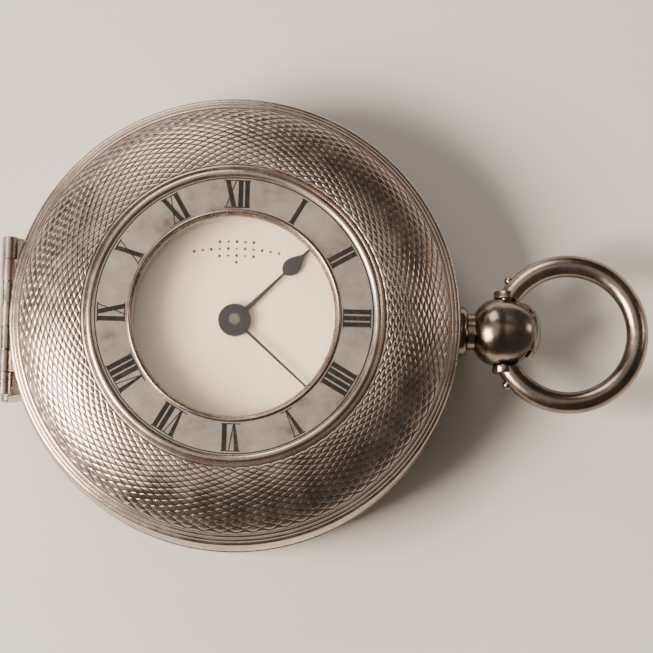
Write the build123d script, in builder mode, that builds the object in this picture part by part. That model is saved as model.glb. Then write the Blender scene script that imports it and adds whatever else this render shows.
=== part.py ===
from build123d import *

import os
from math import cos, radians, sin

os.makedirs("parts", exist_ok=True)

# A half-hunter pocket watch, key wound and key set, in millimetres.
# X runs to the pendant at three, Y to twelve o'clock, and Z from the flat of the back cover to the front.
# The origin is the centre of that flat.

# ---------------------------------------------------------------- driving dimensions

CASE_R = 24.0  # edge of both covers
BAND_R = 24.1  # belly of the middle
BAND_EDGE_R = 23.7
BACK_Z = 4.4  # joint between the back cover and the middle
FRONT_Z = 10.0  # joint between the middle and the front cover
MID_Z = (BACK_Z + FRONT_Z) / 2  # height of the pendant's axis
JOINT_GAP = 0.03  # air between a closed cover and what it closes on
CONTACT = 0.01  # air between two pieces that are fixed together
RUNNING = 0.03  # radial clearance of anything that turns

HINGE_X = -24.15
HINGE_PIN_R = 0.35
HINGE_LENGTH = 17.0
HINGE_STATIONS = 7
KNUCKLE = HINGE_LENGTH / HINGE_STATIONS
KNUCKLE_R = 0.8
KNUCKLE_CUT_R = 0.9
BAND_STATIONS = (0, 3, 6)
COVER_STATIONS = (1, 5)
INNER_STATIONS = (2, 4)

BALL_X = 28.6  # widest place of the pendant's ball
BALL_R = 3.55
BALL_LONG = 4.05  # from there to the end of the push-piece
BOW_PIVOT_X = 28.8
BOW_X = 35.6
BOW_RING_R = 7.38
BOW_BAR_R = 1.175
ROD_R = 0.8
PLUNGER_R = 2.57
PUSH_GAP = 0.38
SEAM_X = 27.8
SEAM_R = 4.1

TOP_PLATE_Z = (3.5, 4.5)  # three-quarter plate, on the back side
PILLAR_PLATE_Z = (7.6, 8.6)
PLATE_R = 20.4
TOP_PLATE_R = 19.4
DIAL_Z = (9.7, 10.4)
DIAL_R = 20.35
HOUR_HAND_Z = (10.75, 10.9)
MINUTE_HAND_Z = (11.15, 11.3)
HOUR_HAND_ANGLE = 45.1  # both read by the usual angle from X, turning back from twelve
MINUTE_HAND_ANGLE = -41.85

UP = (Align.CENTER, Align.CENTER, Align.MIN)


def polar(centre, distance, angle):
    """A point of the plan at a distance and angle from another."""
    turn = radians(angle)
    return (centre[0] + distance * cos(turn), centre[1] + distance * sin(turn))


def disc(radius, low, high, at=(0, 0), mode=Mode.ADD):
    """A round post or hole standing on a point of the plan."""
    with Locations((at[0], at[1], low)):
        Cylinder(radius, high - low, align=UP, mode=mode)


def screw(at, head_r, head, shank_r, shank_end):
    """A slotted screw driven from the back; head is its lowest and highest level."""
    disc(head_r, head[0], head[1], at)
    disc(shank_r, head[1], shank_end, at)
    with Locations((at[0], at[1], head[0])):
        Box(2 * head_r, 0.2, 0.24, rotation=(0, 0, 37), mode=Mode.SUBTRACT)


def profile_plane(angle):
    """An upright plane through the watch's axis: its x is the radius and its y the height."""
    turn = radians(angle)
    return Plane(origin=(0, 0, 0), x_dir=(cos(turn), sin(turn), 0), z_dir=(sin(turn), -cos(turn), 0))


def outward_plane(angle, radius):
    """A plane across a radius of the case at the middle's height, facing outwards."""
    x, y = polar((0, 0), radius, angle)
    return Plane(origin=(x, y, MID_Z), x_dir=(0, 0, 1), z_dir=(x, y, 0))


# ---------------------------------------------------------------- hinges

def knuckles(joint, stations, radius, mode=Mode.ADD, ease=JOINT_GAP):
    """Barrels on a hinge axis, one to each station named."""
    for station in stations:
        along = (station + 0.5) * KNUCKLE - HINGE_LENGTH / 2
        with Locations(Location((HINGE_X, along, joint), (90, 0, 0))):
            Cylinder(radius, KNUCKLE - 2 * ease, mode=mode)


def tongues(joint, side, stations, reach, thick, mode=Mode.ADD, ease=JOINT_GAP):
    """Flat tongues from a hinge axis to a cover's edge, above the joint (1) or below it (-1)."""
    for station in stations:
        along = (station + 0.5) * KNUCKLE - HINGE_LENGTH / 2
        with Locations((HINGE_X, along, joint + side * (JOINT_GAP + thick / 2))):
            Box(reach, KNUCKLE - 2 * ease, thick, align=(Align.MIN, Align.CENTER, Align.CENTER), mode=mode)


def pin_hole(joint, radius):
    with Locations(Location((HINGE_X, 0, joint), (90, 0, 0))):
        Cylinder(radius, HINGE_LENGTH + 1, mode=Mode.SUBTRACT)


def cover_hinge(joint, side, inner_reach):
    """Cuts a cover free of its neighbours' knuckles and gives it its own two."""
    knuckles(joint, BAND_STATIONS + INNER_STATIONS, KNUCKLE_CUT_R, Mode.SUBTRACT, ease=0)
    tongues(joint, side, INNER_STATIONS, inner_reach, 0.55, Mode.SUBTRACT, ease=0)
    knuckles(joint, COVER_STATIONS, KNUCKLE_R)
    tongues(joint, side, COVER_STATIONS, 1.45, 0.47)
    pin_hole(joint, HINGE_PIN_R + RUNNING)


def inner_hinge(joint, side, reach, thick):
    """Gives the cover inside another one its two knuckles."""
    knuckles(joint, INNER_STATIONS, KNUCKLE_R)
    tongues(joint, side, INNER_STATIONS, reach, thick)
    pin_hole(joint, HINGE_PIN_R + RUNNING)


# ---------------------------------------------------------------- case middle

WALL_R = 22.4  # inner face of the middle's outer wall
CHANNEL_R = 20.9  # the springs lie between this and the wall
CHANNEL_Z = 6.4
SEAT_R = 20.45  # bore that the pillar plate drops into
SEAT_Z = 7.55
LEDGE_R = 19.8
LEDGE_Z = 5.8
MOUTH_R = 21.6
LOCK_PIVOT_ANGLE = 55
LIFT_PIVOT_ANGLE = 125
SPRING_SCREW_R = 0.4

with BuildPart() as case_band:
    with BuildSketch(Plane.XZ):
        with BuildLine():
            belly = ThreePointArc(
                (BAND_EDGE_R, BACK_Z + JOINT_GAP), (BAND_R, MID_Z), (BAND_EDGE_R, FRONT_Z)
            )
            Polyline(
                belly @ 1,
                (WALL_R, FRONT_Z),
                (WALL_R, CHANNEL_Z),
                (CHANNEL_R, CHANNEL_Z),
                (CHANNEL_R, FRONT_Z - 0.1),
                (SEAT_R, FRONT_Z - 0.1),
                (SEAT_R, SEAT_Z),
                (LEDGE_R, SEAT_Z),
                (LEDGE_R, LEDGE_Z),
                (MOUTH_R, LEDGE_Z),
                (MOUTH_R, BACK_Z + JOINT_GAP),
                belly @ 0,
            )
        make_face()
    revolve(axis=Axis.Z)
    with BuildSketch(Plane.XY.offset(BACK_Z + 0.2)):
        with BuildLine():
            nose = ThreePointArc((-24.0, 8.6), (-24.9, 0), (-24.0, -8.6))
            Polyline(nose @ 1, (-22.3, -9.7), (-21.2, -9.7), (-21.2, 9.7), (-22.3, 9.7), nose @ 0)
        make_face()
        Circle(WALL_R + 0.6, mode=Mode.SUBTRACT)
    extrude(amount=FRONT_Z - BACK_Z - 0.4)
    for joint in (BACK_Z, FRONT_Z):
        knuckles(joint, COVER_STATIONS + INNER_STATIONS, KNUCKLE_CUT_R, Mode.SUBTRACT, ease=0)
        knuckles(joint, BAND_STATIONS, KNUCKLE_R)
        pin_hole(joint, HINGE_PIN_R + CONTACT)
    with Locations(outward_plane(0, WALL_R - 0.4)):
        Cylinder(ROD_R + RUNNING, 3.0, align=UP, mode=Mode.SUBTRACT)
    for angle in (LOCK_PIVOT_ANGLE, LIFT_PIVOT_ANGLE):
        with Locations(outward_plane(angle, WALL_R - 0.2)):
            Cylinder(SPRING_SCREW_R + CONTACT, 1.2, align=UP, mode=Mode.SUBTRACT)
case_band.part.label = "case_band"

hinge_pins = []
for name, joint in (("front_hinge_pin", FRONT_Z), ("back_hinge_pin", BACK_Z)):
    with BuildPart() as hinge_pin:
        with Locations(Location((HINGE_X, 0, joint), (90, 0, 0))):
            Cylinder(HINGE_PIN_R, HINGE_LENGTH - 0.1)
    hinge_pin.part.label = name
    hinge_pins.append(hinge_pin)

# ---------------------------------------------------------------- pendant, push-piece and bow

PENDANT_PLANE = Plane(origin=(0, 0, MID_Z), x_dir=(1, 0, 0), z_dir=(0, -1, 0))
PENDANT_AXIS = Axis((0, 0, MID_Z), (1, 0, 0))
PENDANT_END = BALL_X + BALL_LONG
BALL_POWER = 2.5  # squarer than a sphere, as a turned ball pendant is
BOW_EYE_R = 0.6
BOW_CUT_Y = BALL_R + 0.07
BOW_PIN_Y = 2.45
BOW_KNOB_R = 0.5
BOW_KNOB_ANGLE = 139


def ball_point(x):
    """A point on the outline of the ball's outer half."""
    return (x, BALL_R * (1 - ((x - BALL_X) / BALL_LONG) ** BALL_POWER) ** (1 / BALL_POWER))


def ball_end(start):
    """The outline from a given place to the pole of the push-piece."""
    points = [ball_point(start + (PENDANT_END - start) * share) for share in (0, 0.35, 0.65, 0.85, 0.96)]
    steepness = (ball_point(start + 0.01)[1] - points[0][1]) / 0.01
    return Spline(*points, (PENDANT_END, 0), tangents=((1, steepness), (0, -1)))


with BuildPart() as pendant:
    with BuildSketch(PENDANT_PLANE):
        with BuildLine():
            flange = Polyline((23.0, 0), (23.0, 2.7), (24.1, 2.7))
            cove = ThreePointArc(flange @ 1, (24.65, 2.5), (24.85, 1.95))
            neck = Line(cove @ 1, (25.55, 1.95))
            shoulder = ThreePointArc(neck @ 1, (26.35, 3.03), (BALL_X, BALL_R))
            crown = ball_end(BALL_X)
            Line(crown @ 1, flange @ 0)
        make_face()
    revolve(axis=PENDANT_AXIS)
    with BuildSketch(Plane.XY.offset(MID_Z)):
        with Locations((BALL_X, 0)):
            Rectangle(8, 10, align=(Align.MIN, Align.CENTER))
        with Locations((SEAM_X, 0)):
            Circle(SEAM_R, mode=Mode.SUBTRACT)
    extrude(amount=5, both=True, mode=Mode.SUBTRACT)
    with Locations(outward_plane(0, 29.5)):
        Cylinder(PLUNGER_R + RUNNING, 5, align=UP, mode=Mode.SUBTRACT)
    with Locations(outward_plane(0, 22)):
        Cylinder(ROD_R + RUNNING, 9, align=UP, mode=Mode.SUBTRACT)
    for turn in (90, -90):
        with Locations(Location((BOW_PIVOT_X, 0, MID_Z), (turn, 0, 0))):
            with Locations((0, 0, BOW_PIN_Y - 0.05)):
                Cylinder(BOW_EYE_R + RUNNING, 2, align=UP, mode=Mode.SUBTRACT)
    disc(BAND_R + 0.005, 0, FRONT_Z + 5, mode=Mode.SUBTRACT)
pendant.part.label = "pendant"

with BuildPart() as seam_cut:
    with Locations((SEAM_X + PUSH_GAP, 0, MID_Z)):
        Cylinder(SEAM_R, 10)
    with Locations(outward_plane(0, BALL_X - 6)):
        Cylinder(PLUNGER_R, 12, align=UP, mode=Mode.SUBTRACT)

with BuildPart() as push_piece:
    with BuildSketch(PENDANT_PLANE):
        with BuildLine():
            crown = ball_end(30.0)
            Polyline(crown @ 1, (30.0, 0), crown @ 0)
        make_face()
    revolve(axis=PENDANT_AXIS)
    add(seam_cut.part, mode=Mode.SUBTRACT)
    with Locations(outward_plane(0, WALL_R - 0.17)):
        Cylinder(ROD_R, 9, align=UP)
push_piece.part.label = "push_piece"

with BuildPart() as bow:
    with Locations((BOW_X, 0, MID_Z)):
        Torus(BOW_RING_R, BOW_BAR_R)
    with Locations((BOW_PIVOT_X, 0, MID_Z)):
        Box(9, 2 * BOW_CUT_Y, 9, mode=Mode.SUBTRACT)
    for side in (90, -90):
        with Locations(Location((BOW_PIVOT_X, 0, MID_Z), (side, 0, 0))):
            with Locations((0, 0, BOW_CUT_Y)):
                Cylinder(BOW_BAR_R + 0.1, 0.75, align=UP)
            with Locations((0, 0, BOW_PIN_Y)):
                Cylinder(BOW_EYE_R, 1.6, align=UP)
    for angle in (BOW_KNOB_ANGLE, -BOW_KNOB_ANGLE):
        x, y = polar((BOW_X, 0), BOW_RING_R, angle)
        with Locations(Plane(origin=(x, y, MID_Z), x_dir=(0, 0, 1), z_dir=(x - BOW_X, y, 0))):
            with Locations((0, 0, BOW_BAR_R)):
                Sphere(BOW_KNOB_R)
bow.part.label = "bow"

# ---------------------------------------------------------------- springs in the middle

SPRING_R = (21.9, 22.2)
SPRING_Z = (6.5, 8.6)
HOOK_R = 22.8

with BuildPart() as lock_spring:
    with BuildSketch(profile_plane(-8)):
        Polygon(
            (SPRING_R[0], SPRING_Z[0]),
            (SPRING_R[1], SPRING_Z[0]),
            (SPRING_R[1], SPRING_Z[1]),
            (SPRING_R[0], SPRING_Z[1]),
        )
    revolve(axis=Axis.Z, revolution_arc=LOCK_PIVOT_ANGLE + 12)
    with BuildSketch(profile_plane(-4)):
        Polygon(
            (SPRING_R[0] + 0.1, SPRING_Z[1] - 0.2),
            (SPRING_R[1], SPRING_Z[1] - 0.2),
            (SPRING_R[1] + 0.1, FRONT_Z - 0.6),
            (SPRING_R[1] + 0.1, FRONT_Z + 0.52),
            (HOOK_R, FRONT_Z + 0.52),
            (HOOK_R - 0.2, FRONT_Z + 0.72),
            (SPRING_R[0] + 0.1, FRONT_Z + 0.72),
        )
    revolve(axis=Axis.Z, revolution_arc=8)
    with Locations(outward_plane(LOCK_PIVOT_ANGLE, SPRING_R[0] - 0.5)):
        Cylinder(SPRING_SCREW_R + 0.05, 1.2, align=UP, mode=Mode.SUBTRACT)
lock_spring.part.label = "lock_spring"

with BuildPart() as lift_spring:
    with BuildSketch(profile_plane(LIFT_PIVOT_ANGLE - 4)):
        Polygon(
            (SPRING_R[0], SPRING_Z[0]),
            (SPRING_R[1], SPRING_Z[0]),
            (SPRING_R[1], SPRING_Z[1]),
            (SPRING_R[0], SPRING_Z[1]),
        )
    revolve(axis=Axis.Z, revolution_arc=51)
    with BuildSketch(profile_plane(165)):
        Polygon(
            (SPRING_R[0], SPRING_Z[1] - 0.2),
            (SPRING_R[1], SPRING_Z[1] - 0.2),
            (SPRING_R[1], FRONT_Z - 0.05),
            (SPRING_R[0], FRONT_Z - 0.05),
        )
    revolve(axis=Axis.Z, revolution_arc=5)
    with Locations(outward_plane(LIFT_PIVOT_ANGLE, SPRING_R[0] - 0.5)):
        Cylinder(SPRING_SCREW_R + 0.05, 1.2, align=UP, mode=Mode.SUBTRACT)
lift_spring.part.label = "lift_spring"

with BuildPart() as spring_screws:
    for angle in (LOCK_PIVOT_ANGLE, LIFT_PIVOT_ANGLE):
        with Locations(outward_plane(angle, SPRING_R[0] - 0.45)):
            Cylinder(0.7, 0.4, align=UP)
            Cylinder(SPRING_SCREW_R, 1.7, align=UP)
            Box(0.2, 1.4, 0.3, mode=Mode.SUBTRACT)
spring_screws.part.label = "spring_screws"

# ---------------------------------------------------------------- front cover

FRONT_PROFILE = Plane(origin=(0, 0, FRONT_Z), x_dir=(1, 0, 0), z_dir=(0, -1, 0))
BACK_PROFILE = Plane(origin=(0, 0, BACK_Z), x_dir=(1, 0, 0), z_dir=(0, 1, 0))
COVER_BORE_R = 23.2
CHAPTER_R = 14.8  # outer edge of the flat chapter ring
CHAPTER_H = 4.8  # its height above the joint
WINDOW_R = 11.3
LIP_R = 22.85


def cover_rim():
    """Outer edge of a cover from its joint up over two beads, in heights from the joint."""
    skirt = Line((CASE_R, JOINT_GAP), (CASE_R, 0.55))
    corner = ThreePointArc(skirt @ 1, (23.9, 0.82), (23.62, 0.95))
    outer_bead = ThreePointArc(corner @ 1, (23.50, 1.22), (23.22, 1.30))
    return ThreePointArc(outer_bead @ 1, (23.10, 1.57), (22.82, 1.65))


with BuildPart() as front_cover:
    with BuildSketch(FRONT_PROFILE):
        with BuildLine():
            rim = cover_rim()
            crown = ThreePointArc(rim @ 1, (20.2, 3.65), (15.9, 4.75))
            groove = Polyline(crown @ 1, (15.82, 4.62), (15.7, 4.68))
            bead = ThreePointArc(groove @ 1, (15.25, 5.0), (CHAPTER_R, CHAPTER_H))
            window = Polyline(bead @ 1, (WINDOW_R, CHAPTER_H), (WINDOW_R, 4.2), (15.6, 4.05))
            lining = ThreePointArc(window @ 1, (19.9, 3.0), (22.3, 1.35))
            Polyline(
                lining @ 1,
                (COVER_BORE_R, 0.5),
                (LIP_R, 0.5),
                (LIP_R, 0.1),
                (COVER_BORE_R, 0.1),
                (COVER_BORE_R, JOINT_GAP),
                (CASE_R, JOINT_GAP),
            )
        make_face()
    revolve(axis=Axis.Z)
    cover_hinge(FRONT_Z, 1, 2.4)
front_cover.part.label = "front_cover"

with BuildPart() as window_bezel:
    with BuildSketch(FRONT_PROFILE):
        with BuildLine():
            foot = Polyline(
                (10.88, 4.85), (10.88, 4.2), (10.6, 4.2), (10.6, 3.95), (12.0, 3.95), (12.0, 4.12),
                (WINDOW_R - CONTACT, 4.12), (WINDOW_R - CONTACT, 4.85),
            )
            ThreePointArc(foot @ 1, ((10.88 + WINDOW_R) / 2, 5.02), foot @ 0)
        make_face()
    revolve(axis=Axis.Z)
window_bezel.part.label = "window_bezel"

with BuildPart() as window_glass:
    with BuildSketch(FRONT_PROFILE):
        with BuildLine():
            under = TangentArc((0, 4.5), (9.5, 4.22), tangent=(1, 0))
            edge = Polyline(under @ 1, (10.85, 4.22), (10.85, 4.72))
            top = TangentArc((0, 5.1), edge @ 1, tangent=(1, 0))
            Line(top @ 0, under @ 0)
        make_face()
    revolve(axis=Axis.Z)
window_glass.part.label = "window_glass"

NUMERALS = ("I", "II", "III", "IIII", "V", "VI", "VII", "VIII", "IX", "X", "XI", "XII")
SERIF = 0.1


def numeral(text, hour, inner, outer, bar, space):
    """A Roman numeral with its feet towards the centre; bar is its thick stroke's width."""
    thin = bar / 5
    widths = {"I": bar, "V": 2.3 * bar, "X": 2.4 * bar}
    tall = outer - inner
    left = -(sum(widths[letter] for letter in text) + space * (len(text) - 1)) / 2
    with Locations(Location((0, 0, 0), (0, 0, -30 * hour))):
        for letter in text:
            wide = widths[letter]
            right = left + wide
            if letter == "I":
                Polygon((left, inner), (right, inner), (right, outer), (left, outer))
            if letter == "V":
                foot = (left + right) / 2
                Polygon((left, outer), (foot - thin, inner), (foot + thin, inner), (left + bar, outer))
                Polygon((right - thin, outer), (right, outer), (foot + thin, inner), (foot, inner))
            if letter == "X":
                Polygon((left, outer), (right - bar, inner), (right, inner), (left + bar, outer))
                Polygon((right - thin, outer), (right, outer), (left + thin, inner), (left, inner))
            for edge in (inner + SERIF / 2, inner + tall - SERIF / 2):
                with Locations(((left + right) / 2, edge)):
                    Rectangle(wide + 0.6 * space + 0.22 * bar, SERIF)
            left = right + space


with BuildPart() as chapter_enamel:
    with BuildSketch(Plane.XY.offset(FRONT_Z + CHAPTER_H)):
        Circle(14.72)
        Circle(14.6, mode=Mode.SUBTRACT)
        for hour, text in enumerate(NUMERALS, start=1):
            numeral(text, hour, 11.45, 14.42, 0.5, 0.18)
    extrude(amount=0.05)
chapter_enamel.part.label = "chapter_enamel"

# ---------------------------------------------------------------- dial bezel and crystal

with BuildPart() as dial_bezel:
    with BuildSketch(FRONT_PROFILE):
        Polygon(
            (20.5, JOINT_GAP), (21.55, JOINT_GAP), (21.55, 0.95), (21.1, 1.5), (20.85, 1.5),
            (21.03, 1.2), (21.03, 0.85), (20.5, 0.85),
        )
    revolve(axis=Axis.Z)
    inner_hinge(FRONT_Z, 1, 3.15, 0.47)
dial_bezel.part.label = "dial_bezel"

with BuildPart() as dial_crystal:
    with BuildSketch(FRONT_PROFILE):
        with BuildLine():
            wall = Polyline((20.3, 0.88), (21.0, 0.88), (21.0, 1.16), (20.55, 1.16), (19.95, 2.3))
            top = TangentArc((0, 3.35), wall @ 1, tangent=(1, 0))
            middle = Line(top @ 0, (0, 2.95))
            under = TangentArc(middle @ 1, (19.6, 1.92), tangent=(1, 0))
            Line(under @ 1, wall @ 0)
        make_face()
    revolve(axis=Axis.Z)
dial_crystal.part.label = "dial_crystal"

# ---------------------------------------------------------------- back cover and dust dome

BACK_FLAT_R = 7.0

with BuildPart() as back_cover:
    with BuildSketch(BACK_PROFILE):
        with BuildLine():
            rim = cover_rim()
            shoulder = ThreePointArc(rim @ 1, (21.4, 2.95), (19.5, 3.55))
            belly = TangentArc((BACK_FLAT_R, BACK_Z), shoulder @ 1, tangent=(1, 0))
            middle = Polyline(belly @ 0, (0, BACK_Z), (0, BACK_Z - 0.5), (BACK_FLAT_R, BACK_Z - 0.5))
            floor = TangentArc(middle @ 1, (19.3, 3.05), tangent=(1, 0))
            lining = ThreePointArc(floor @ 1, (21.1, 2.45), (22.3, 1.25))
            Polyline(lining @ 1, (COVER_BORE_R, 0.5), (COVER_BORE_R, JOINT_GAP), (CASE_R, JOINT_GAP))
        make_face()
    revolve(axis=Axis.Z)
    cover_hinge(BACK_Z, -1, 2.4)
back_cover.part.label = "back_cover"

BARREL_AT = polar((0, 0), 8.55, 60)

with BuildPart() as dust_dome:
    with BuildSketch(BACK_PROFILE):
        with BuildLine():
            outer = Polyline((20.9, JOINT_GAP), (22.9, JOINT_GAP), (22.9, 0.4), (21.3, 0.4), (20.7, 1.2))
            outer_fold = ThreePointArc(outer @ 1, (19.3, 2.35), (17.0, 2.8))
            floor = Polyline(outer_fold @ 1, (0, 2.8), (0, 2.4), (16.8, 2.4))
            inner_fold = ThreePointArc(floor @ 1, (19.0, 1.95), (20.3, 1.0))
            Line(inner_fold @ 1, outer @ 0)
        make_face()
    revolve(axis=Axis.Z)
    disc(2.25, 1, 3, BARREL_AT, Mode.SUBTRACT)
    inner_hinge(BACK_Z, -1, 2.0, 0.35)
dust_dome.part.label = "dust_dome"

# ---------------------------------------------------------------- gears

def gear_points(teeth, module, angle, gap=False, leaf=False):
    """The outline of a wheel or a leaved pinion, with a tooth or a gap centred on an angle."""
    pitch_r = teeth * module / 2
    root_r = pitch_r - 1.3 * module
    tip_r = pitch_r + (0.8 if leaf else 0.95) * module
    pitch = 360 / teeth
    half = pitch * (0.18 if leaf else 0.23)
    points = []
    for tooth in range(teeth):
        middle = angle + (tooth + (0.5 if gap else 0)) * pitch
        points.append(polar((0, 0), root_r, middle - 1.2 * half))
        points.append(polar((0, 0), tip_r, middle - 0.5 * half))
        points.append(polar((0, 0), tip_r, middle + 0.5 * half))
        points.append(polar((0, 0), root_r, middle + 1.2 * half))
    return points


def crossings(rim_r, hub_r, bore_r, arms, arm_width):
    """Cuts a wheel's web away, leaving its rim, hub and arms."""
    Circle(rim_r, mode=Mode.SUBTRACT)
    Circle(hub_r)
    with PolarLocations(0, arms):
        Rectangle(rim_r + 0.2, arm_width, align=(Align.MIN, Align.CENTER))
    Circle(bore_r, mode=Mode.SUBTRACT)


def level(at, height):
    """The horizontal plane at a height, centred on an arbor."""
    return Plane(origin=(at[0], at[1], height))


THIRD_AT = polar((0, 0), 6.75, 190)
FOURTH_AT = polar(THIRD_AT, 5.525, 250)
ESCAPE_AT = polar(FOURTH_AT, 4.62, 330)
LEVER_LINE = 345
ESCAPE_R = 3.2
PALLET_AT = polar(ESCAPE_AT, 3.7, LEVER_LINE)
BALANCE_AT = polar(PALLET_AT, 5.0, LEVER_LINE)
MINUTE_POST_AT = polar((0, 0), 3.6, 200)
PIVOT_R = 0.12
PIVOT_TOP = 8.15
PIVOT_LOW = 3.95

# ---------------------------------------------------------------- barrel and winding work

BARREL_TEETH = 80
BARREL_MODULE = 0.19
BARREL_WALL_R = 7.2
ARBOR_R = 0.95
SQUARE = 1.3
RATCHET_R = 2.6

with BuildPart() as barrel:
    with BuildSketch(level(BARREL_AT, 6.6)):
        Polygon(*gear_points(BARREL_TEETH, BARREL_MODULE, 240))
        Circle(ARBOR_R - 0.15 + RUNNING, mode=Mode.SUBTRACT)
    extrude(amount=0.3)
    with BuildSketch(level(BARREL_AT, 4.7)):
        Circle(BARREL_WALL_R)
        Circle(BARREL_WALL_R - 0.3, mode=Mode.SUBTRACT)
    extrude(amount=1.9)
barrel.part.label = "barrel"

with BuildPart() as barrel_cover:
    with BuildSketch(level(BARREL_AT, 4.72)):
        Circle(BARREL_WALL_R - 0.3 - CONTACT)
        Circle(ARBOR_R + RUNNING, mode=Mode.SUBTRACT)
    extrude(amount=0.25)
barrel_cover.part.label = "barrel_cover"


def coil_points(inner, outer, turns, thick, end_angle):
    """A flat spiral strip that winds outwards to an angle, as one closed outline."""
    steps = 30 * turns
    spiral = [
        (inner + (outer - inner) * step / steps, end_angle + 360 * turns * (step / steps - 1))
        for step in range(steps + 1)
    ]
    outside = [polar((0, 0), radius + thick / 2, angle) for radius, angle in spiral]
    inside = [polar((0, 0), radius - thick / 2, angle) for radius, angle in reversed(spiral)]
    return outside + inside


with BuildPart() as mainspring:
    with BuildSketch(level(BARREL_AT, 5.05)):
        Polygon(*coil_points(1.8, 6.75, 9, 0.18, 60))
    extrude(amount=1.45)
mainspring.part.label = "mainspring"

with BuildPart() as winding_arbor:
    with Locations((BARREL_AT[0], BARREL_AT[1], 2.15)):
        Box(SQUARE, SQUARE, 1.3, align=UP)
    disc(ARBOR_R, 3.42, 5.0, BARREL_AT)
    disc(1.6, 5.0, 6.55, BARREL_AT)
    disc(ARBOR_R - 0.15, 6.55, 8.1, BARREL_AT)
winding_arbor.part.label = "winding_arbor"

with BuildPart() as ratchet_wheel:
    with BuildSketch(level(BARREL_AT, 3.1)):
        saw = []
        for tooth in range(24):
            saw.append(polar((0, 0), RATCHET_R, 15 * tooth))
            saw.append(polar((0, 0), RATCHET_R - 0.4, 15 * tooth + 1.5))
        Polygon(*saw)
        Rectangle(SQUARE + 2 * CONTACT, SQUARE + 2 * CONTACT, mode=Mode.SUBTRACT)
    extrude(amount=0.3)
ratchet_wheel.part.label = "ratchet_wheel"

CLICK_AT = polar(BARREL_AT, 3.95, 20)
CLICK_TIP = polar(BARREL_AT, RATCHET_R + 0.07, 52)
CLICK_Z = (3.12, 3.42)
CLICK_SCREW_R = 0.35

with BuildPart() as click:
    with BuildSketch(Plane.XY.offset(CLICK_Z[0])):
        with Locations(CLICK_AT):
            Circle(0.65)
        Polygon(
            polar(CLICK_AT, 0.62, 20), polar(BARREL_AT, 3.7, 48), CLICK_TIP,
            polar(BARREL_AT, RATCHET_R + 0.1, 46), polar(CLICK_AT, 0.62, 200),
        )
        with Locations(CLICK_AT):
            Circle(CLICK_SCREW_R + RUNNING, mode=Mode.SUBTRACT)
    extrude(amount=CLICK_Z[1] - CLICK_Z[0])
click.part.label = "click"

CLICK_SPRING_AT = polar(BARREL_AT, 5.4, 80)

with BuildPart() as click_spring:
    with BuildSketch(Plane.XY.offset(CLICK_Z[0])):
        with Locations(CLICK_SPRING_AT):
            Circle(0.6)
        Polygon(
            polar(CLICK_SPRING_AT, 0.5, 60), polar(BARREL_AT, 4.0, 47), polar(BARREL_AT, 3.78, 49),
            polar(CLICK_SPRING_AT, 0.35, 260),
        )
        with Locations(CLICK_SPRING_AT):
            Circle(CLICK_SCREW_R + CONTACT, mode=Mode.SUBTRACT)
    extrude(amount=CLICK_Z[1] - CLICK_Z[0])
click_spring.part.label = "click_spring"

# ---------------------------------------------------------------- going train

CENTRE_ARBOR_R = 0.55

with BuildPart() as centre_pinion:
    with BuildSketch(level((0, 0), 6.35)):
        Polygon(*gear_points(10, BARREL_MODULE, 60, gap=True, leaf=True))
    extrude(amount=0.6)
    disc(CENTRE_ARBOR_R, 4.5, 11.0)
    disc(0.3, PIVOT_LOW, 4.5)
centre_pinion.part.label = "centre_pinion"

with BuildPart() as centre_wheel:
    with BuildSketch(level((0, 0), 7.05)):
        Polygon(*gear_points(80, 0.15, 190))
        crossings(5.3, 1.2, CENTRE_ARBOR_R + CONTACT, 4, 0.55)
    extrude(amount=0.35)
centre_wheel.part.label = "centre_wheel"


def arbor(at, radius, low, high):
    """A turned arbor between the plates with a thin pivot at each end."""
    disc(radius, low, high, at)
    disc(PIVOT_R, PIVOT_LOW, low, at)
    disc(PIVOT_R, high, PIVOT_TOP, at)


with BuildPart() as third_pinion:
    with BuildSketch(level(THIRD_AT, 6.85)):
        Polygon(*gear_points(10, 0.15, 10, gap=True, leaf=True))
    extrude(amount=0.65)
    arbor(THIRD_AT, 0.35, 4.6, 7.52)
third_pinion.part.label = "third_pinion"

with BuildPart() as third_wheel:
    with BuildSketch(level(THIRD_AT, 4.95)):
        Polygon(*gear_points(75, 0.13, 250))
        crossings(4.3, 1.0, 0.35 + CONTACT, 4, 0.5)
    extrude(amount=0.3)
third_wheel.part.label = "third_wheel"

with BuildPart() as fourth_pinion:
    with BuildSketch(level(FOURTH_AT, 4.75)):
        Polygon(*gear_points(10, 0.13, 70, gap=True, leaf=True))
    extrude(amount=0.7)
    arbor(FOURTH_AT, 0.32, 4.6, 7.5)
fourth_pinion.part.label = "fourth_pinion"

with BuildPart() as fourth_wheel:
    with BuildSketch(level(FOURTH_AT, 6.65)):
        Polygon(*gear_points(70, 0.12, 330))
        crossings(3.65, 0.9, 0.32 + CONTACT, 4, 0.45)
    extrude(amount=0.25)
fourth_wheel.part.label = "fourth_wheel"

with BuildPart() as escape_pinion:
    with BuildSketch(level(ESCAPE_AT, 6.4)):
        Polygon(*gear_points(7, 0.12, 150, gap=True, leaf=True))
    extrude(amount=0.75)
    arbor(ESCAPE_AT, 0.25, 4.6, 7.5)
escape_pinion.part.label = "escape_pinion"

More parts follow.
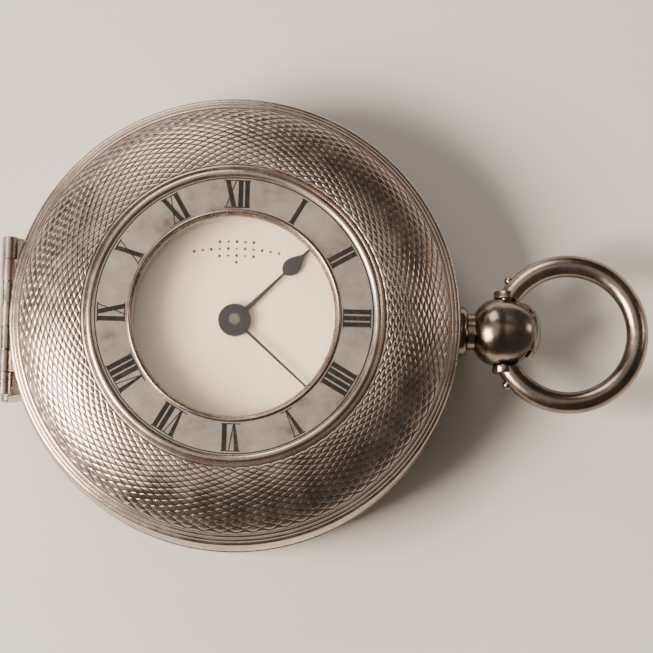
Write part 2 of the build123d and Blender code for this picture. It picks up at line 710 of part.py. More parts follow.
with BuildPart() as escape_wheel:
    with BuildSketch(level(ESCAPE_AT, 5.5)):
        pointed = []
        for tooth in range(15):
            pointed.append(polar((0, 0), ESCAPE_R, LEVER_LINE + 24 * tooth))
            pointed.append(polar((0, 0), ESCAPE_R - 0.05, LEVER_LINE + 24 * tooth + 1.5))
            pointed.append(polar((0, 0), ESCAPE_R - 0.75, LEVER_LINE + 24 * tooth + 13))
            pointed.append(polar((0, 0), ESCAPE_R - 0.75, LEVER_LINE + 24 * tooth + 20))
        Polygon(*pointed)
        crossings(2.1, 0.6, 0.25 + CONTACT, 4, 0.35)
    extrude(amount=0.25)
escape_wheel.part.label = "escape_wheel"

# ---------------------------------------------------------------- lever and balance

LEVER_PLANE = Plane(
    origin=(PALLET_AT[0], PALLET_AT[1], 5.5),
    x_dir=(cos(radians(LEVER_LINE)), sin(radians(LEVER_LINE)), 0),
)
STONE_GAP = 0.1
STONE_SIZE = (0.8, 0.34)
ROLLER_PIN_R = 1.05

with BuildPart() as pallet_stones:
    with BuildSketch(LEVER_PLANE):
        for side in (30, -30):
            reach = ESCAPE_R + STONE_GAP + STONE_SIZE[0] / 2
            x, y = polar((-3.7, 0), reach, side)
            with Locations(Location((x, y, 0), (0, 0, side))):
                Rectangle(*STONE_SIZE)
    extrude(amount=0.25)
pallet_stones.part.label = "pallet_stones"

with BuildPart() as pallet_lever:
    with BuildSketch(LEVER_PLANE):
        Circle(0.6)
        for side in (30, -30):
            x, y = polar((-3.7, 0), ESCAPE_R + 0.62, side)
            with Locations((x, y)):
                Circle(0.42)
            Polygon((-0.25, 0), (0.25, 0), (x + 0.3, y), (x - 0.1, y))
        Polygon((0, -0.22), (3.6, -0.15), (3.6, 0.15), (0, 0.22))
        Polygon((3.3, -0.15), (3.7, -0.5), (4.2, -0.5), (4.2, 0.5), (3.7, 0.5), (3.3, 0.15))
        with Locations((3.7, 0)):
            Rectangle(1.0, 0.4, align=(Align.MIN, Align.CENTER), mode=Mode.SUBTRACT)
        for side in (30, -30):
            x, y = polar((-3.7, 0), ESCAPE_R + STONE_GAP + STONE_SIZE[0] / 2, side)
            with Locations(Location((x, y, 0), (0, 0, side))):
                Rectangle(
                    STONE_SIZE[0] + 2 * CONTACT, STONE_SIZE[1] + 2 * CONTACT, mode=Mode.SUBTRACT
                )
        Circle(0.2 + CONTACT, mode=Mode.SUBTRACT)
    extrude(amount=0.25)
pallet_lever.part.label = "pallet_lever"

with BuildPart() as pallet_staff:
    disc(0.2, 5.3, 7.5, PALLET_AT)
    disc(PIVOT_R, 4.75, 5.3, PALLET_AT)
    disc(PIVOT_R, 7.5, PIVOT_TOP, PALLET_AT)
pallet_staff.part.label = "pallet_staff"

BALANCE_Z = (3.85, 4.35)
BALANCE_RIM = (5.7, 6.25)
BALANCE_SCREWS = 14
STAFF_R = 0.3
COCK_FOOT_AT = (12.9, -7.6)
COCK_LINE = 21.0  # direction from the balance to the cock's foot

with BuildPart() as balance_wheel:
    with BuildSketch(level(BALANCE_AT, BALANCE_Z[0])):
        Circle(BALANCE_RIM[1])
        crossings(BALANCE_RIM[0], 0.9, STAFF_R + CONTACT, 2, 0.7)
        with PolarLocations(0, 2, start_angle=12):
            with Locations((BALANCE_RIM[0] - 0.2, 0)):
                Rectangle(1.5, 0.3, align=(Align.MIN, Align.CENTER), mode=Mode.SUBTRACT)
    extrude(amount=BALANCE_Z[1] - BALANCE_Z[0])
balance_wheel.part.label = "balance_wheel"

with BuildPart() as balance_screws:
    for number in range(BALANCE_SCREWS):
        turn = 360 / BALANCE_SCREWS * (number + 0.5)
        x, y = polar(BALANCE_AT, BALANCE_RIM[1] + CONTACT, turn)
        across = Plane(
            origin=(x, y, sum(BALANCE_Z) / 2), x_dir=(0, 0, 1), z_dir=(cos(radians(turn)), sin(radians(turn)), 0)
        )
        with Locations(across):
            Cylinder(0.25, 0.5, align=UP)
balance_screws.part.label = "balance_screws"

with BuildPart() as balance_staff:
    disc(0.1, 2.87, 3.25, BALANCE_AT)
    disc(STAFF_R, 3.25, 7.5, BALANCE_AT)
    disc(0.65, 3.56, 3.76, BALANCE_AT)
    disc(0.1, 7.5, PIVOT_TOP, BALANCE_AT)
    disc(1.35, 5.05, 5.25, BALANCE_AT)
balance_staff.part.label = "balance_staff"

with BuildPart() as impulse_jewel:
    disc(0.13, 5.25 + CONTACT, 5.45, polar(BALANCE_AT, ROLLER_PIN_R, LEVER_LINE + 180))
impulse_jewel.part.label = "impulse_jewel"

HAIRSPRING_R = (0.8, 3.6)
HAIRSPRING_TURNS = 10
HAIRSPRING_Z = (3.56, 3.76)

with BuildPart() as hairspring:
    with BuildSketch(level(BALANCE_AT, HAIRSPRING_Z[0])):
        Polygon(*coil_points(*HAIRSPRING_R, HAIRSPRING_TURNS, 0.05, COCK_LINE))
    extrude(amount=HAIRSPRING_Z[1] - HAIRSPRING_Z[0])
hairspring.part.label = "hairspring"

STUD_AT = polar(BALANCE_AT, 3.95, COCK_LINE)

with BuildPart() as hairspring_stud:
    with Locations((STUD_AT[0], STUD_AT[1], 3.5 + CONTACT)):
        Box(0.6, 0.6, 0.29, align=UP, rotation=(0, 0, COCK_LINE))
hairspring_stud.part.label = "hairspring_stud"

JEWEL_R = 0.7
JEWEL_BORE_R = PIVOT_R + 0.02

with BuildPart() as balance_cock:
    with BuildSketch(Plane.XY.offset(2.9)):
        with Locations(BALANCE_AT):
            Circle(2.2)
        with Locations(COCK_FOOT_AT):
            Circle(2.3)
        Polygon(
            polar(BALANCE_AT, 2.19, COCK_LINE + 90), polar(BALANCE_AT, 2.19, COCK_LINE - 90),
            polar(COCK_FOOT_AT, 2.29, COCK_LINE - 90), polar(COCK_FOOT_AT, 2.29, COCK_LINE + 90),
        )
    extrude(amount=0.58)
    disc(1.15, 2.6, 2.9, BALANCE_AT)
    disc(JEWEL_R + CONTACT, 2.5, 3.5, BALANCE_AT, Mode.SUBTRACT)
    disc(0.45 + CONTACT, 2.8, 3.6, COCK_FOOT_AT, Mode.SUBTRACT)
balance_cock.part.label = "balance_cock"

with BuildPart() as balance_jewels:
    disc(JEWEL_R, 2.6, 2.84, BALANCE_AT)
    disc(JEWEL_R, 2.88, 3.2, BALANCE_AT)
    disc(0.12, 2.85, 3.25, BALANCE_AT, Mode.SUBTRACT)
balance_jewels.part.label = "balance_jewels"

CURB_LINE = COCK_LINE - 80  # the curb pins stand either side of the hairspring's outer coil
CURB_R = HAIRSPRING_R[1] - (HAIRSPRING_R[1] - HAIRSPRING_R[0]) / HAIRSPRING_TURNS * 80 / 360

with BuildPart() as regulator_index:
    with BuildSketch(level(BALANCE_AT, 2.65)):
        Circle(1.75)
        Polygon(
            polar((0, 0), 1.6, COCK_LINE - 25), polar((0, 0), 6.2, COCK_LINE - 1.5),
            polar((0, 0), 6.2, COCK_LINE + 1.5), polar((0, 0), 1.6, COCK_LINE + 25),
        )
        Polygon(
            polar((0, 0), 1.6, CURB_LINE - 14), polar((0, 0), CURB_R + 0.35, CURB_LINE - 5),
            polar((0, 0), CURB_R + 0.35, CURB_LINE + 5), polar((0, 0), 1.6, CURB_LINE + 14),
        )
        Circle(1.15 + RUNNING, mode=Mode.SUBTRACT)
    extrude(amount=0.2)
    for side in (-0.13, 0.13):
        disc(0.06, 2.8, 3.72, polar(BALANCE_AT, CURB_R + side, CURB_LINE))
regulator_index.part.label = "regulator_index"

PALLET_COCK_LINE = 270  # direction from the pallet staff to the cock's foot
PALLET_COCK_FOOT = polar(PALLET_AT, 3.1, PALLET_COCK_LINE)

with BuildPart() as pallet_cock:
    with BuildSketch(Plane.XY.offset(4.6)):
        with Locations(PALLET_AT, PALLET_COCK_FOOT):
            Circle(0.95)
        Polygon(
            polar(PALLET_AT, 0.94, PALLET_COCK_LINE - 90), polar(PALLET_AT, 0.94, PALLET_COCK_LINE + 90),
            polar(PALLET_COCK_FOOT, 0.94, PALLET_COCK_LINE + 90),
            polar(PALLET_COCK_FOOT, 0.94, PALLET_COCK_LINE - 90),
        )
    extrude(amount=0.6)
    disc(0.95, 5.1, PILLAR_PLATE_Z[0] - CONTACT, PALLET_COCK_FOOT)
    disc(JEWEL_R + CONTACT, 4.5, 5.3, PALLET_AT, Mode.SUBTRACT)
    disc(0.62, 4.5, 4.86, PALLET_COCK_FOOT, Mode.SUBTRACT)
    disc(0.36, 4.5, 8.0, PALLET_COCK_FOOT, Mode.SUBTRACT)
pallet_cock.part.label = "pallet_cock"

# ---------------------------------------------------------------- plates and pillars

PILLAR_POINTS = [polar((0, 0), 18.0, angle) for angle in (15, 105, 185, 245)]
TRAIN_POINTS = (THIRD_AT, FOURTH_AT, ESCAPE_AT)
DIAL_FOOT_POINTS = [polar((0, 0), 16.6, angle) for angle in (35, 150, 275)]

with BuildPart() as top_plate:
    with BuildSketch(Plane.XY.offset(TOP_PLATE_Z[0])):
        Circle(TOP_PLATE_R)
        with Locations(BALANCE_AT):
            Circle(7.5, mode=Mode.SUBTRACT)
            Rectangle(20, 14, rotation=-70.5, align=(Align.MIN, Align.CENTER), mode=Mode.SUBTRACT)
        with Locations(*TRAIN_POINTS):
            Circle(JEWEL_R + CONTACT, mode=Mode.SUBTRACT)
        with Locations(*PILLAR_POINTS):
            Circle(0.41, mode=Mode.SUBTRACT)
        with Locations(COCK_FOOT_AT):
            Circle(0.46, mode=Mode.SUBTRACT)
        with Locations(CLICK_AT, CLICK_SPRING_AT):
            Circle(CLICK_SCREW_R + CONTACT, mode=Mode.SUBTRACT)
        with Locations(BARREL_AT):
            Circle(ARBOR_R + RUNNING, mode=Mode.SUBTRACT)
        Circle(0.3 + RUNNING, mode=Mode.SUBTRACT)
    extrude(amount=TOP_PLATE_Z[1] - TOP_PLATE_Z[0] - CONTACT)
top_plate.part.label = "top_plate"

with BuildPart() as pillar_plate:
    disc(PLATE_R, *PILLAR_PLATE_Z)
    for point in TRAIN_POINTS + (PALLET_AT, BALANCE_AT):
        disc(JEWEL_R + CONTACT, 7.5, 8.7, point, Mode.SUBTRACT)
    for point in PILLAR_POINTS:
        disc(0.51, 7.5, 8.7, point, Mode.SUBTRACT)
    for point in DIAL_FOOT_POINTS:
        disc(0.42, 7.5, 8.7, point, Mode.SUBTRACT)
    disc(0.31, 7.5, 8.7, MINUTE_POST_AT, Mode.SUBTRACT)
    disc(0.36, 7.5, 8.3, PALLET_COCK_FOOT, Mode.SUBTRACT)
    disc(ARBOR_R - 0.15 + RUNNING, 7.5, 8.7, BARREL_AT, Mode.SUBTRACT)
    disc(CENTRE_ARBOR_R + RUNNING, 7.5, 8.7, mode=Mode.SUBTRACT)
pillar_plate.part.label = "pillar_plate"

with BuildPart() as pillars:
    for point in PILLAR_POINTS:
        disc(0.9, TOP_PLATE_Z[1], PILLAR_PLATE_Z[0] - CONTACT, point)
        disc(1.15, TOP_PLATE_Z[1], 4.8, point)
        disc(1.15, 7.3, PILLAR_PLATE_Z[0] - CONTACT, point)
        disc(0.5, 7.5, 8.4, point)
        disc(0.41, 4.4, 5.9, point, Mode.SUBTRACT)
pillars.part.label = "pillars"

with BuildPart() as movement_screws:
    for point in PILLAR_POINTS:
        screw(point, 0.85, (3.15, TOP_PLATE_Z[0] - CONTACT), 0.4, 5.6)
    screw(COCK_FOOT_AT, 0.95, (2.5, 2.89), 0.45, 4.3)
    screw(PALLET_COCK_FOOT, 0.6, (4.6, 4.85), 0.35, 8.2)
    screw(CLICK_AT, 0.6, (2.8, CLICK_Z[0] - RUNNING), CLICK_SCREW_R, 4.3)
    screw(CLICK_SPRING_AT, 0.6, (2.8, CLICK_Z[0] - CONTACT), CLICK_SCREW_R, 4.3)
movement_screws.part.label = "movement_screws"

with BuildPart() as plate_jewels:
    for point in TRAIN_POINTS:
        disc(JEWEL_R, 3.8, 4.4, point)
    for point in TRAIN_POINTS + (PALLET_AT, BALANCE_AT):
        disc(JEWEL_R, 7.75, 8.3, point)
    disc(JEWEL_R, 4.65, 5.1, PALLET_AT)
    for point in TRAIN_POINTS + (PALLET_AT, BALANCE_AT):
        disc(JEWEL_BORE_R, 3.7, 8.4, point, Mode.SUBTRACT)
plate_jewels.part.label = "plate_jewels"

# ---------------------------------------------------------------- motion work, dial and hands

CANNON_R = 0.75
MOTION_MODULE = 0.15
HOUR_MODULE = 0.144
HOUR_PIPE_R = 1.05
POST_LINE = 200

with BuildPart() as cannon_pinion:
    with BuildSketch(Plane.XY.offset(8.7)):
        Polygon(*gear_points(12, MOTION_MODULE, POST_LINE, gap=True, leaf=True))
    extrude(amount=0.4)
    disc(CANNON_R, 9.1, MINUTE_HAND_Z[0])
    disc(0.6, MINUTE_HAND_Z[0], 12.0)
    with Locations((0, 0, 12.0)):
        Box(0.8, 0.8, 0.4, align=UP)
    disc(CENTRE_ARBOR_R + 0.02, 8.5, 11.02, mode=Mode.SUBTRACT)
cannon_pinion.part.label = "cannon_pinion"

with BuildPart() as minute_wheel:
    with BuildSketch(level(MINUTE_POST_AT, 8.75)):
        Polygon(*gear_points(36, MOTION_MODULE, POST_LINE - 180))
    extrude(amount=0.3)
    with BuildSketch(level(MINUTE_POST_AT, 9.05)):
        Polygon(*gear_points(10, HOUR_MODULE, POST_LINE - 180, gap=True, leaf=True))
    extrude(amount=0.5)
    disc(0.35 + RUNNING, 8.6, 9.7, MINUTE_POST_AT, Mode.SUBTRACT)
minute_wheel.part.label = "minute_wheel"

with BuildPart() as minute_wheel_post:
    disc(0.3, 8.0, 8.7, MINUTE_POST_AT)
    disc(0.35, PILLAR_PLATE_Z[1] + CONTACT, 9.6, MINUTE_POST_AT)
minute_wheel_post.part.label = "minute_wheel_post"

with BuildPart() as hour_wheel:
    with BuildSketch(Plane.XY.offset(9.2)):
        Polygon(*gear_points(40, HOUR_MODULE, POST_LINE))
    extrude(amount=0.25)
    disc(HOUR_PIPE_R, 9.2, HOUR_HAND_Z[1])
    disc(CANNON_R + RUNNING, 9.1, 11.0, mode=Mode.SUBTRACT)
hour_wheel.part.label = "hour_wheel"

with BuildPart() as dial:
    disc(DIAL_R, *DIAL_Z)
    disc(HOUR_PIPE_R + 0.15, DIAL_Z[0] - 1, DIAL_Z[1] + 1, mode=Mode.SUBTRACT)
    chamfer(dial.edges().filter_by(GeomType.CIRCLE).group_by(Axis.Z)[-1].sort_by(SortBy.RADIUS)[-1], 0.12)
dial.part.label = "dial"

with BuildPart() as dial_feet:
    for point in DIAL_FOOT_POINTS:
        disc(0.4, 7.9, DIAL_Z[0] - CONTACT, point)
dial_feet.part.label = "dial_feet"

with BuildPart() as dial_numerals:
    with BuildSketch(Plane.XY.offset(DIAL_Z[1])):
        for ring_r in (18.35, 19.35):
            Circle(ring_r + 0.04)
            Circle(ring_r - 0.04, mode=Mode.SUBTRACT)
        for hour, text in enumerate(NUMERALS, start=1):
            numeral(text, hour, 14.4, 17.9, 0.62, 0.2)
    extrude(amount=0.02)
dial_numerals.part.label = "dial_numerals"

HAND_HUB_R = 1.73

with BuildPart() as hour_hand:
    with BuildSketch(Plane((0, 0, HOUR_HAND_Z[0])).rotated((0, 0, HOUR_HAND_ANGLE))):
        with BuildLine():
            stem = Line((HAND_HUB_R - 0.2, 0.27), (7.2, 0.12))
            pear = Spline(stem @ 1, (7.55, 0.62), (8.4, 0.9), (9.3, 0.55), (9.95, 0.18))
            spike = Line(pear @ 1, (11.2, 0.06))
            end = Line(spike @ 1, (11.2, 0))
            Line(end @ 1, (HAND_HUB_R - 0.2, 0))
            Line((HAND_HUB_R - 0.2, 0), stem @ 0)
        make_face()
        mirror(about=Plane.XZ)
        Circle(HAND_HUB_R)
        Circle(HOUR_PIPE_R + CONTACT, mode=Mode.SUBTRACT)
    extrude(amount=HOUR_HAND_Z[1] - HOUR_HAND_Z[0])
hour_hand.part.label = "hour_hand"

with BuildPart() as minute_hand:
    with BuildSketch(Plane((0, 0, MINUTE_HAND_Z[0])).rotated((0, 0, MINUTE_HAND_ANGLE))):
        with BuildLine():
            stem = Line((HAND_HUB_R - 0.2, 0.16), (14.3, 0.09))
            pear = Spline(stem @ 1, (14.6, 0.45), (15.3, 0.66), (16.1, 0.42), (16.7, 0.13))
            spike = Line(pear @ 1, (18.4, 0.05))
            end = Line(spike @ 1, (18.4, 0))
            Line(end @ 1, (HAND_HUB_R - 0.2, 0))
            Line((HAND_HUB_R - 0.2, 0), stem @ 0)
        make_face()
        mirror(about=Plane.XZ)
        Circle(HAND_HUB_R)
        Circle(0.6 + CONTACT, mode=Mode.SUBTRACT)
    extrude(amount=MINUTE_HAND_Z[1] - MINUTE_HAND_Z[0])
    for radius, top in ((1.45, 11.5), (1.0, 11.75)):
        disc(radius, MINUTE_HAND_Z[0], top)
    disc(0.6 + CONTACT, 11, 12, mode=Mode.SUBTRACT)
minute_hand.part.label = "minute_hand"

# ---------------------------------------------------------------- one STEP file for each piece

case_pieces = [case_band, *hinge_pins, pendant, push_piece, bow, lock_spring, lift_spring, spring_screws]
cover_pieces = [
    front_cover, window_bezel, window_glass, chapter_enamel, dial_bezel, dial_crystal, back_cover, dust_dome
]
winding_pieces = [barrel, barrel_cover, mainspring, winding_arbor, ratchet_wheel, click, click_spring]
train_pieces = [
    centre_pinion, centre_wheel, third_pinion, third_wheel, fourth_pinion, fourth_wheel,
    escape_pinion, escape_wheel,
]
balance_pieces = [
    pallet_stones, pallet_lever, pallet_staff, balance_wheel, balance_screws, balance_staff, impulse_jewel,
    hairspring, hairspring_stud, balance_cock, balance_jewels, regulator_index, pallet_cock,
]
frame_pieces = [top_plate, pillar_plate, pillars, movement_screws, plate_jewels]
dial_pieces = [
    cannon_pinion, minute_wheel, minute_wheel_post, hour_wheel, dial, dial_feet, dial_numerals,
    hour_hand, minute_hand,
]

for piece in (
    case_pieces + cover_pieces + winding_pieces + train_pieces + balance_pieces + frame_pieces + dial_pieces
):
    export_step(piece.part, f"parts/{piece.part.label}.step")
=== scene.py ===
from math import atan2, cos, hypot, pi, radians, sin

import bmesh
import bpy
from mathutils import Matrix, Vector


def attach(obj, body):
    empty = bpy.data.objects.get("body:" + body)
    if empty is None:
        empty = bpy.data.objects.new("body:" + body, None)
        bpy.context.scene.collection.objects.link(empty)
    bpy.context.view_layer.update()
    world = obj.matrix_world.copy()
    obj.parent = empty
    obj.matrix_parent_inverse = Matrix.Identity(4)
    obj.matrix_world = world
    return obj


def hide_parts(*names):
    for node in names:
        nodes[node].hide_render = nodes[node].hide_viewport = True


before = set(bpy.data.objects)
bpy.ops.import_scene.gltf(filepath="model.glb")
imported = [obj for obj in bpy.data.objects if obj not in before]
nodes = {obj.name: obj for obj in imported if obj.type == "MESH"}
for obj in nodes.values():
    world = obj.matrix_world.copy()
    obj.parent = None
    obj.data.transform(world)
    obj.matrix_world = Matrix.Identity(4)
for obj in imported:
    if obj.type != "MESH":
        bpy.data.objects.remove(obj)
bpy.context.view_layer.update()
MM = 0.001

# ---- Case middle
# The middle is a turned silver ring between the two covers, with a slight belly and a hinge block soldered
# on at nine o'clock. The block carries three of the seven knuckles of each hinge.
# Sizes are in millimetres from the middle of the back, with the height upwards.


def linear(code):
    """The linear values of a hex colour."""
    parts = [int(code[place:place + 2], 16) / 255 for place in (1, 3, 5)]
    return [part / 12.92 if part < 0.04045 else ((part + 0.055) / 1.055) ** 2.4 for part in parts] + [1]


def add(tree, kind, inputs, **settings):
    """A new shader node with its settings; inputs holds values, or other nodes' outputs to link."""
    made = tree.nodes.new("ShaderNode" + kind)
    for name, value in settings.items():
        setattr(made, name, value)
    for name, value in inputs.items():
        if isinstance(value, bpy.types.NodeSocket):
            tree.links.new(value, made.inputs[name])
        else:
            made.inputs[name].default_value = value
    return made


def ramp(made, stops):
    """Sets a colour ramp's stops as (place, hex colour)."""
    band = made.color_ramp.elements
    while len(band) < len(stops):
        band.new(0.5)
    for element, (place, code) in zip(band, stops):
        element.position = place
        element.color = linear(code)


def fresh(name):
    """An empty material and its tree and surface output."""
    made = bpy.data.materials.new(name)
    made.use_nodes = True
    made.node_tree.nodes.clear()
    return made, made.node_tree, made.node_tree.nodes.new("ShaderNodeOutputMaterial")


def worn_silver(name, bright, tarnish, rough, scratch, groove=None):
    """Sterling silver, polished by hand and handled since: a warm film of tarnish in soft patches, hairline
    scratches about 0.05 mm apart in every direction, and painted shade, dark low in any engine-turned cut."""
    made, tree, output = fresh(name)
    place = add(tree, "TexCoord", {}).outputs["Object"]
    clouds = add(tree, "TexNoise", {"Vector": place, "Scale": 1 / (9 * MM), "Detail": 5, "Roughness": 0.6})
    film = add(tree, "ValToRGB", {"Fac": clouds.outputs["Fac"]})
    ramp(film, [(0.36, tarnish), (0.62, bright)])
    colour = film.outputs["Color"]
    if groove:
        # The groove colour is painted shade: it darkens each engine-turned cut towards its bottom, and where two cuts
        # nearly meet.
        depth = add(tree, "Attribute", {}, attribute_name="cut_height")
        cut_shade_mix = add(tree, "MapRange", {"Value": depth.outputs["Fac"], "From Min": 0.0, "From Max": 0.6,
                                      "To Min": 0.95, "To Max": 0.0})
        colour = add(tree, "Mix", {0: cut_shade_mix.outputs[0], 6: colour, 7: linear(groove)}, data_type="RGBA").outputs[2]
    stretched = add(tree, "Mapping", {"Vector": place, "Rotation": (0, 0, 0.6), "Scale": (1, 14, 3)})
    hairs = add(tree, "TexNoise", {"Vector": stretched.outputs[0], "Scale": 1 / (1.4 * MM), "Detail": 7,
                                   "Roughness": 0.7})
    crossed = add(tree, "Mapping", {"Vector": place, "Rotation": (0, 0, -0.9), "Scale": (13, 1, 3)})
    more_hairs = add(tree, "TexNoise", {"Vector": crossed.outputs[0], "Scale": 1 / (1.7 * MM), "Detail": 7,
                                        "Roughness": 0.7})
    both = add(tree, "Math", {0: hairs.outputs["Fac"], 1: more_hairs.outputs["Fac"]}, operation="ADD")
    smears = add(tree, "TexNoise", {"Vector": place, "Scale": 1 / (2.6 * MM), "Detail": 6, "Roughness": 0.65})
    gloss = add(tree, "MapRange", {"Value": smears.outputs["Fac"], "From Min": 0.3, "From Max": 0.75,
                                   "To Min": rough - 0.07, "To Max": rough + 0.14})
    bump = add(tree, "Bump", {"Height": both.outputs[0], "Strength": scratch, "Distance": 0.02 * MM})
    shader = add(tree, "BsdfPrincipled", {"Base Color": colour, "Metallic": 1.0, "Roughness": gloss.outputs[0],
                                          "Normal": bump.outputs["Normal"]})
    tree.links.new(shader.outputs[0], output.inputs["Surface"])
    return made


def arc(start, through, end):
    """The middle and radius of the arc from start through a third point to end."""
    ax, ay, bx, by = through[0] - start[0], through[1] - start[1], end[0] - start[0], end[1] - start[1]
    cross = 2 * (ax * by - ay * bx)
    x = (by * (ax * ax + ay * ay) - ay * (bx * bx + by * by)) / cross
    y = (ax * (bx * bx + by * by) - bx * (ax * ax + ay * ay)) / cross
    return start[0] + x, start[1] + y, hypot(x, y)


def curve(start, through, end, steps):
    """Points along that arc, without start itself."""
    x, y, radius = arc(start, through, end)
    first = atan2(start[1] - y, start[0] - x)
    sweep = (atan2(end[1] - y, end[0] - x) - first + pi) % (2 * pi) - pi
    turns = [first + sweep * step / steps for step in range(1, steps + 1)]
    return [(x + radius * cos(turn), y + radius * sin(turn)) for turn in turns]


def turned(mesh, profile, steps, at=(0, 0, 0), axis=(0, 0, 1), closed=True, turn=360, start=0):
    """Turns a profile of (radius, height) on a lathe, about an axis through a point, into a bmesh."""
    lean = Vector((0, 0, 1)).rotation_difference(Vector(axis)).to_matrix().to_4x4()
    upright = Matrix.Translation(Vector(at) * MM) @ lean
    begin = upright @ Matrix.Rotation(radians(start), 4, "Z")
    points = [mesh.verts.new(begin @ Vector((radius * MM, 0, height * MM))) for radius, height in profile]
    lines = [mesh.edges.new(pair) for pair in zip(points, points[1:])]
    if closed:
        lines.append(mesh.edges.new((points[-1], points[0])))
    if turn < 360:
        lines.append(mesh.faces.new(points))
    centre, spindle = upright.translation, upright.to_3x3() @ Vector((0, 0, 1))
    whole = turn == 360
    parts = 16 if whole else 1
    before = set(mesh.verts) - set(points), set(mesh.edges) - set(lines), set(mesh.faces) - set(lines)
    bmesh.ops.spin(
        mesh, geom=points + lines, cent=centre, axis=spindle, angle=radians(turn / parts), steps=steps // parts,
    )
    if whole:
        made = (set(mesh.verts) - before[0], set(mesh.edges) - before[1], set(mesh.faces) - before[2])
        bmesh.ops.spin(
            mesh, geom=[part for kind in made for part in kind], cent=centre, axis=spindle,
            angle=radians(360 - 360 / parts), steps=parts - 1, use_duplicate=True,
        )
        bmesh.ops.remove_doubles(mesh, verts=list(set(mesh.verts) - before[0]), dist=1e-6)


def smooth_by_angle(piece, angle):
    """Shades a piece smoothly, except over edges sharper than an angle in degrees."""
    for face in piece.data.polygons:
        face.use_smooth = True
    piece.data.set_sharp_from_angle(angle=radians(angle))


def finished(name, mesh, body, slot, stands_for, *coats):
    """Makes a bmesh into a piece with its materials, on its body and in place of its plain solids."""
    bmesh.ops.recalc_face_normals(mesh, faces=mesh.faces)
    data = bpy.data.meshes.new(name)
    mesh.to_mesh(data)
    mesh.free()
    piece = bpy.data.objects.new(name, data)
    bpy.context.scene.collection.objects.link(piece)
    for coat in coats:
        data.materials.append(coat)
    smooth_by_angle(piece, 35)
    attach(piece, body)
    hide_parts(*stands_for)
    return piece


def cut_away(piece, tool):
    """Cuts a tool's shape out of a piece for good, and keeps the piece's materials."""
    bmesh.ops.recalc_face_normals(tool, faces=tool.faces)
    data = bpy.data.meshes.new("cutter")
    tool.to_mesh(data)
    tool.free()
    cutter = bpy.data.objects.new("cutter", data)
    bpy.context.scene.collection.objects.link(cutter)
    cut = piece.modifiers.new("cut", "BOOLEAN")
    cut.object = cutter
    cut.solver = "MANIFOLD"
    bpy.context.view_layer.update()
    shaped = bpy.data.meshes.new_from_object(piece.evaluated_get(bpy.context.evaluated_depsgraph_get()))
    piece.modifiers.clear()
    old = piece.data
    while len(shaped.materials) > len(old.materials):
        shaped.materials.pop()
    shaped.polygons.foreach_set("material_index", [0] * len(shaped.polygons))
    piece.data = shaped
    bpy.data.meshes.remove(old)
    bpy.data.objects.remove(cutter)
    smooth_by_angle(piece, 35)


HINGE_X = -24.15
FRONT_JOINT, BACK_JOINT = 10.0, 4.4
MIDDLE_Z = 7.2
HINGE_LENGTH = 17
KNUCKLE = HINGE_LENGTH / 7
KNUCKLE_R, PIN_R = 0.8, 0.37


def knuckles(mesh, joint, stations, radius=KNUCKLE_R, bore=PIN_R, ease=0.03):
    """Adds hinge barrels at the numbered stations from six o'clock to twelve."""
    half = KNUCKLE / 2 - ease
    soft = 0.06
    for station in stations:
        along = (station + 0.5) * KNUCKLE - HINGE_LENGTH / 2
        ring = [
            (bore, -half), (radius - soft, -half), (radius, soft - half),
            (radius, half - soft), (radius - soft, half), (bore, half),
        ]
        turned(mesh, ring, 40, at=(HINGE_X, along, joint), axis=(0, 1, 0))


def block(mesh, low, high, soft=0.05):
    """Adds a block between two corners with its edges eased."""
    made = bmesh.ops.create_cube(mesh, size=1)["verts"]
    size = [(high[n] - low[n]) * MM for n in range(3)]
    middle = [(high[n] + low[n]) / 2 * MM for n in range(3)]
    bmesh.ops.scale(mesh, vec=size, verts=made)
    bmesh.ops.translate(mesh, vec=middle, verts=made)
    edges = list({edge for vert in made for edge in vert.link_edges})
    if soft:
        bmesh.ops.bevel(
            mesh, geom=edges, offset=soft * MM, segments=2, profile=0.5, affect="EDGES", material=-1,
        )


polished_silver = worn_silver("worn_polished_silver", "#BCABA0", "#8F7E74", 0.24, 0.35)

band = bmesh.new()
belly = [(23.7, 4.43)] + curve((23.7, 4.43), (24.1, 7.2), (23.7, 9.92), 22) + [(23.66, 9.97), (23.58, 10.0)]
turned(
    band, belly + [(22.4, 10), (22.4, 6.4), (20.9, 6.4), (20.9, 9.9), (20.45, 9.9), (20.45, 7.55), (19.8, 7.55),
                   (19.8, 5.8), (21.6, 5.8), (21.6, 4.43)], 288,
)
case_middle = finished("case_middle", band, "case", "case_silver", ["case_band"], polished_silver)


def middle_recess():
    """What the middle gives up to the knuckles of the four covers."""
    tool = bmesh.new()
    for joint in (BACK_JOINT, FRONT_JOINT):
        knuckles(tool, joint, (1, 2, 4, 5), radius=0.9, bore=0.01, ease=-0.02)
    return tool


cut_away(case_middle, middle_recess())

hinge_block = bmesh.new()
turned(
    hinge_block, [(41.54, 4.62), (41.54, 9.78), (39.4, 9.78), (39.4, 4.62)], 24, at=(16.64, 0, 0), turn=24, start=168,
)
bmesh.ops.bevel(
    hinge_block, geom=[edge for edge in hinge_block.edges if edge.calc_face_angle(0) > 1], offset=0.12 * MM,
    segments=3, profile=0.5, affect="EDGES", material=-1,
)
hinge_nose = finished("hinge_block", hinge_block, "case", "case_silver", [], polished_silver)
cut_away(hinge_nose, middle_recess())
knuckle_rings = bmesh.new()
for joint in (BACK_JOINT, FRONT_JOINT):
    knuckles(knuckle_rings, joint, (0, 3, 6))
finished("case_knuckles", knuckle_rings, "case", "case_silver", [], polished_silver)

# ---- Front cover
# The lid is spun from sheet silver and engine-turned on a rose engine: wavy circles, each touching the next,
# leave rows of barleycorn grains. Two beads run round its edge and one frames the flat chapter ring, which is
# left plain with a fine turned grain for the enamelled hours.

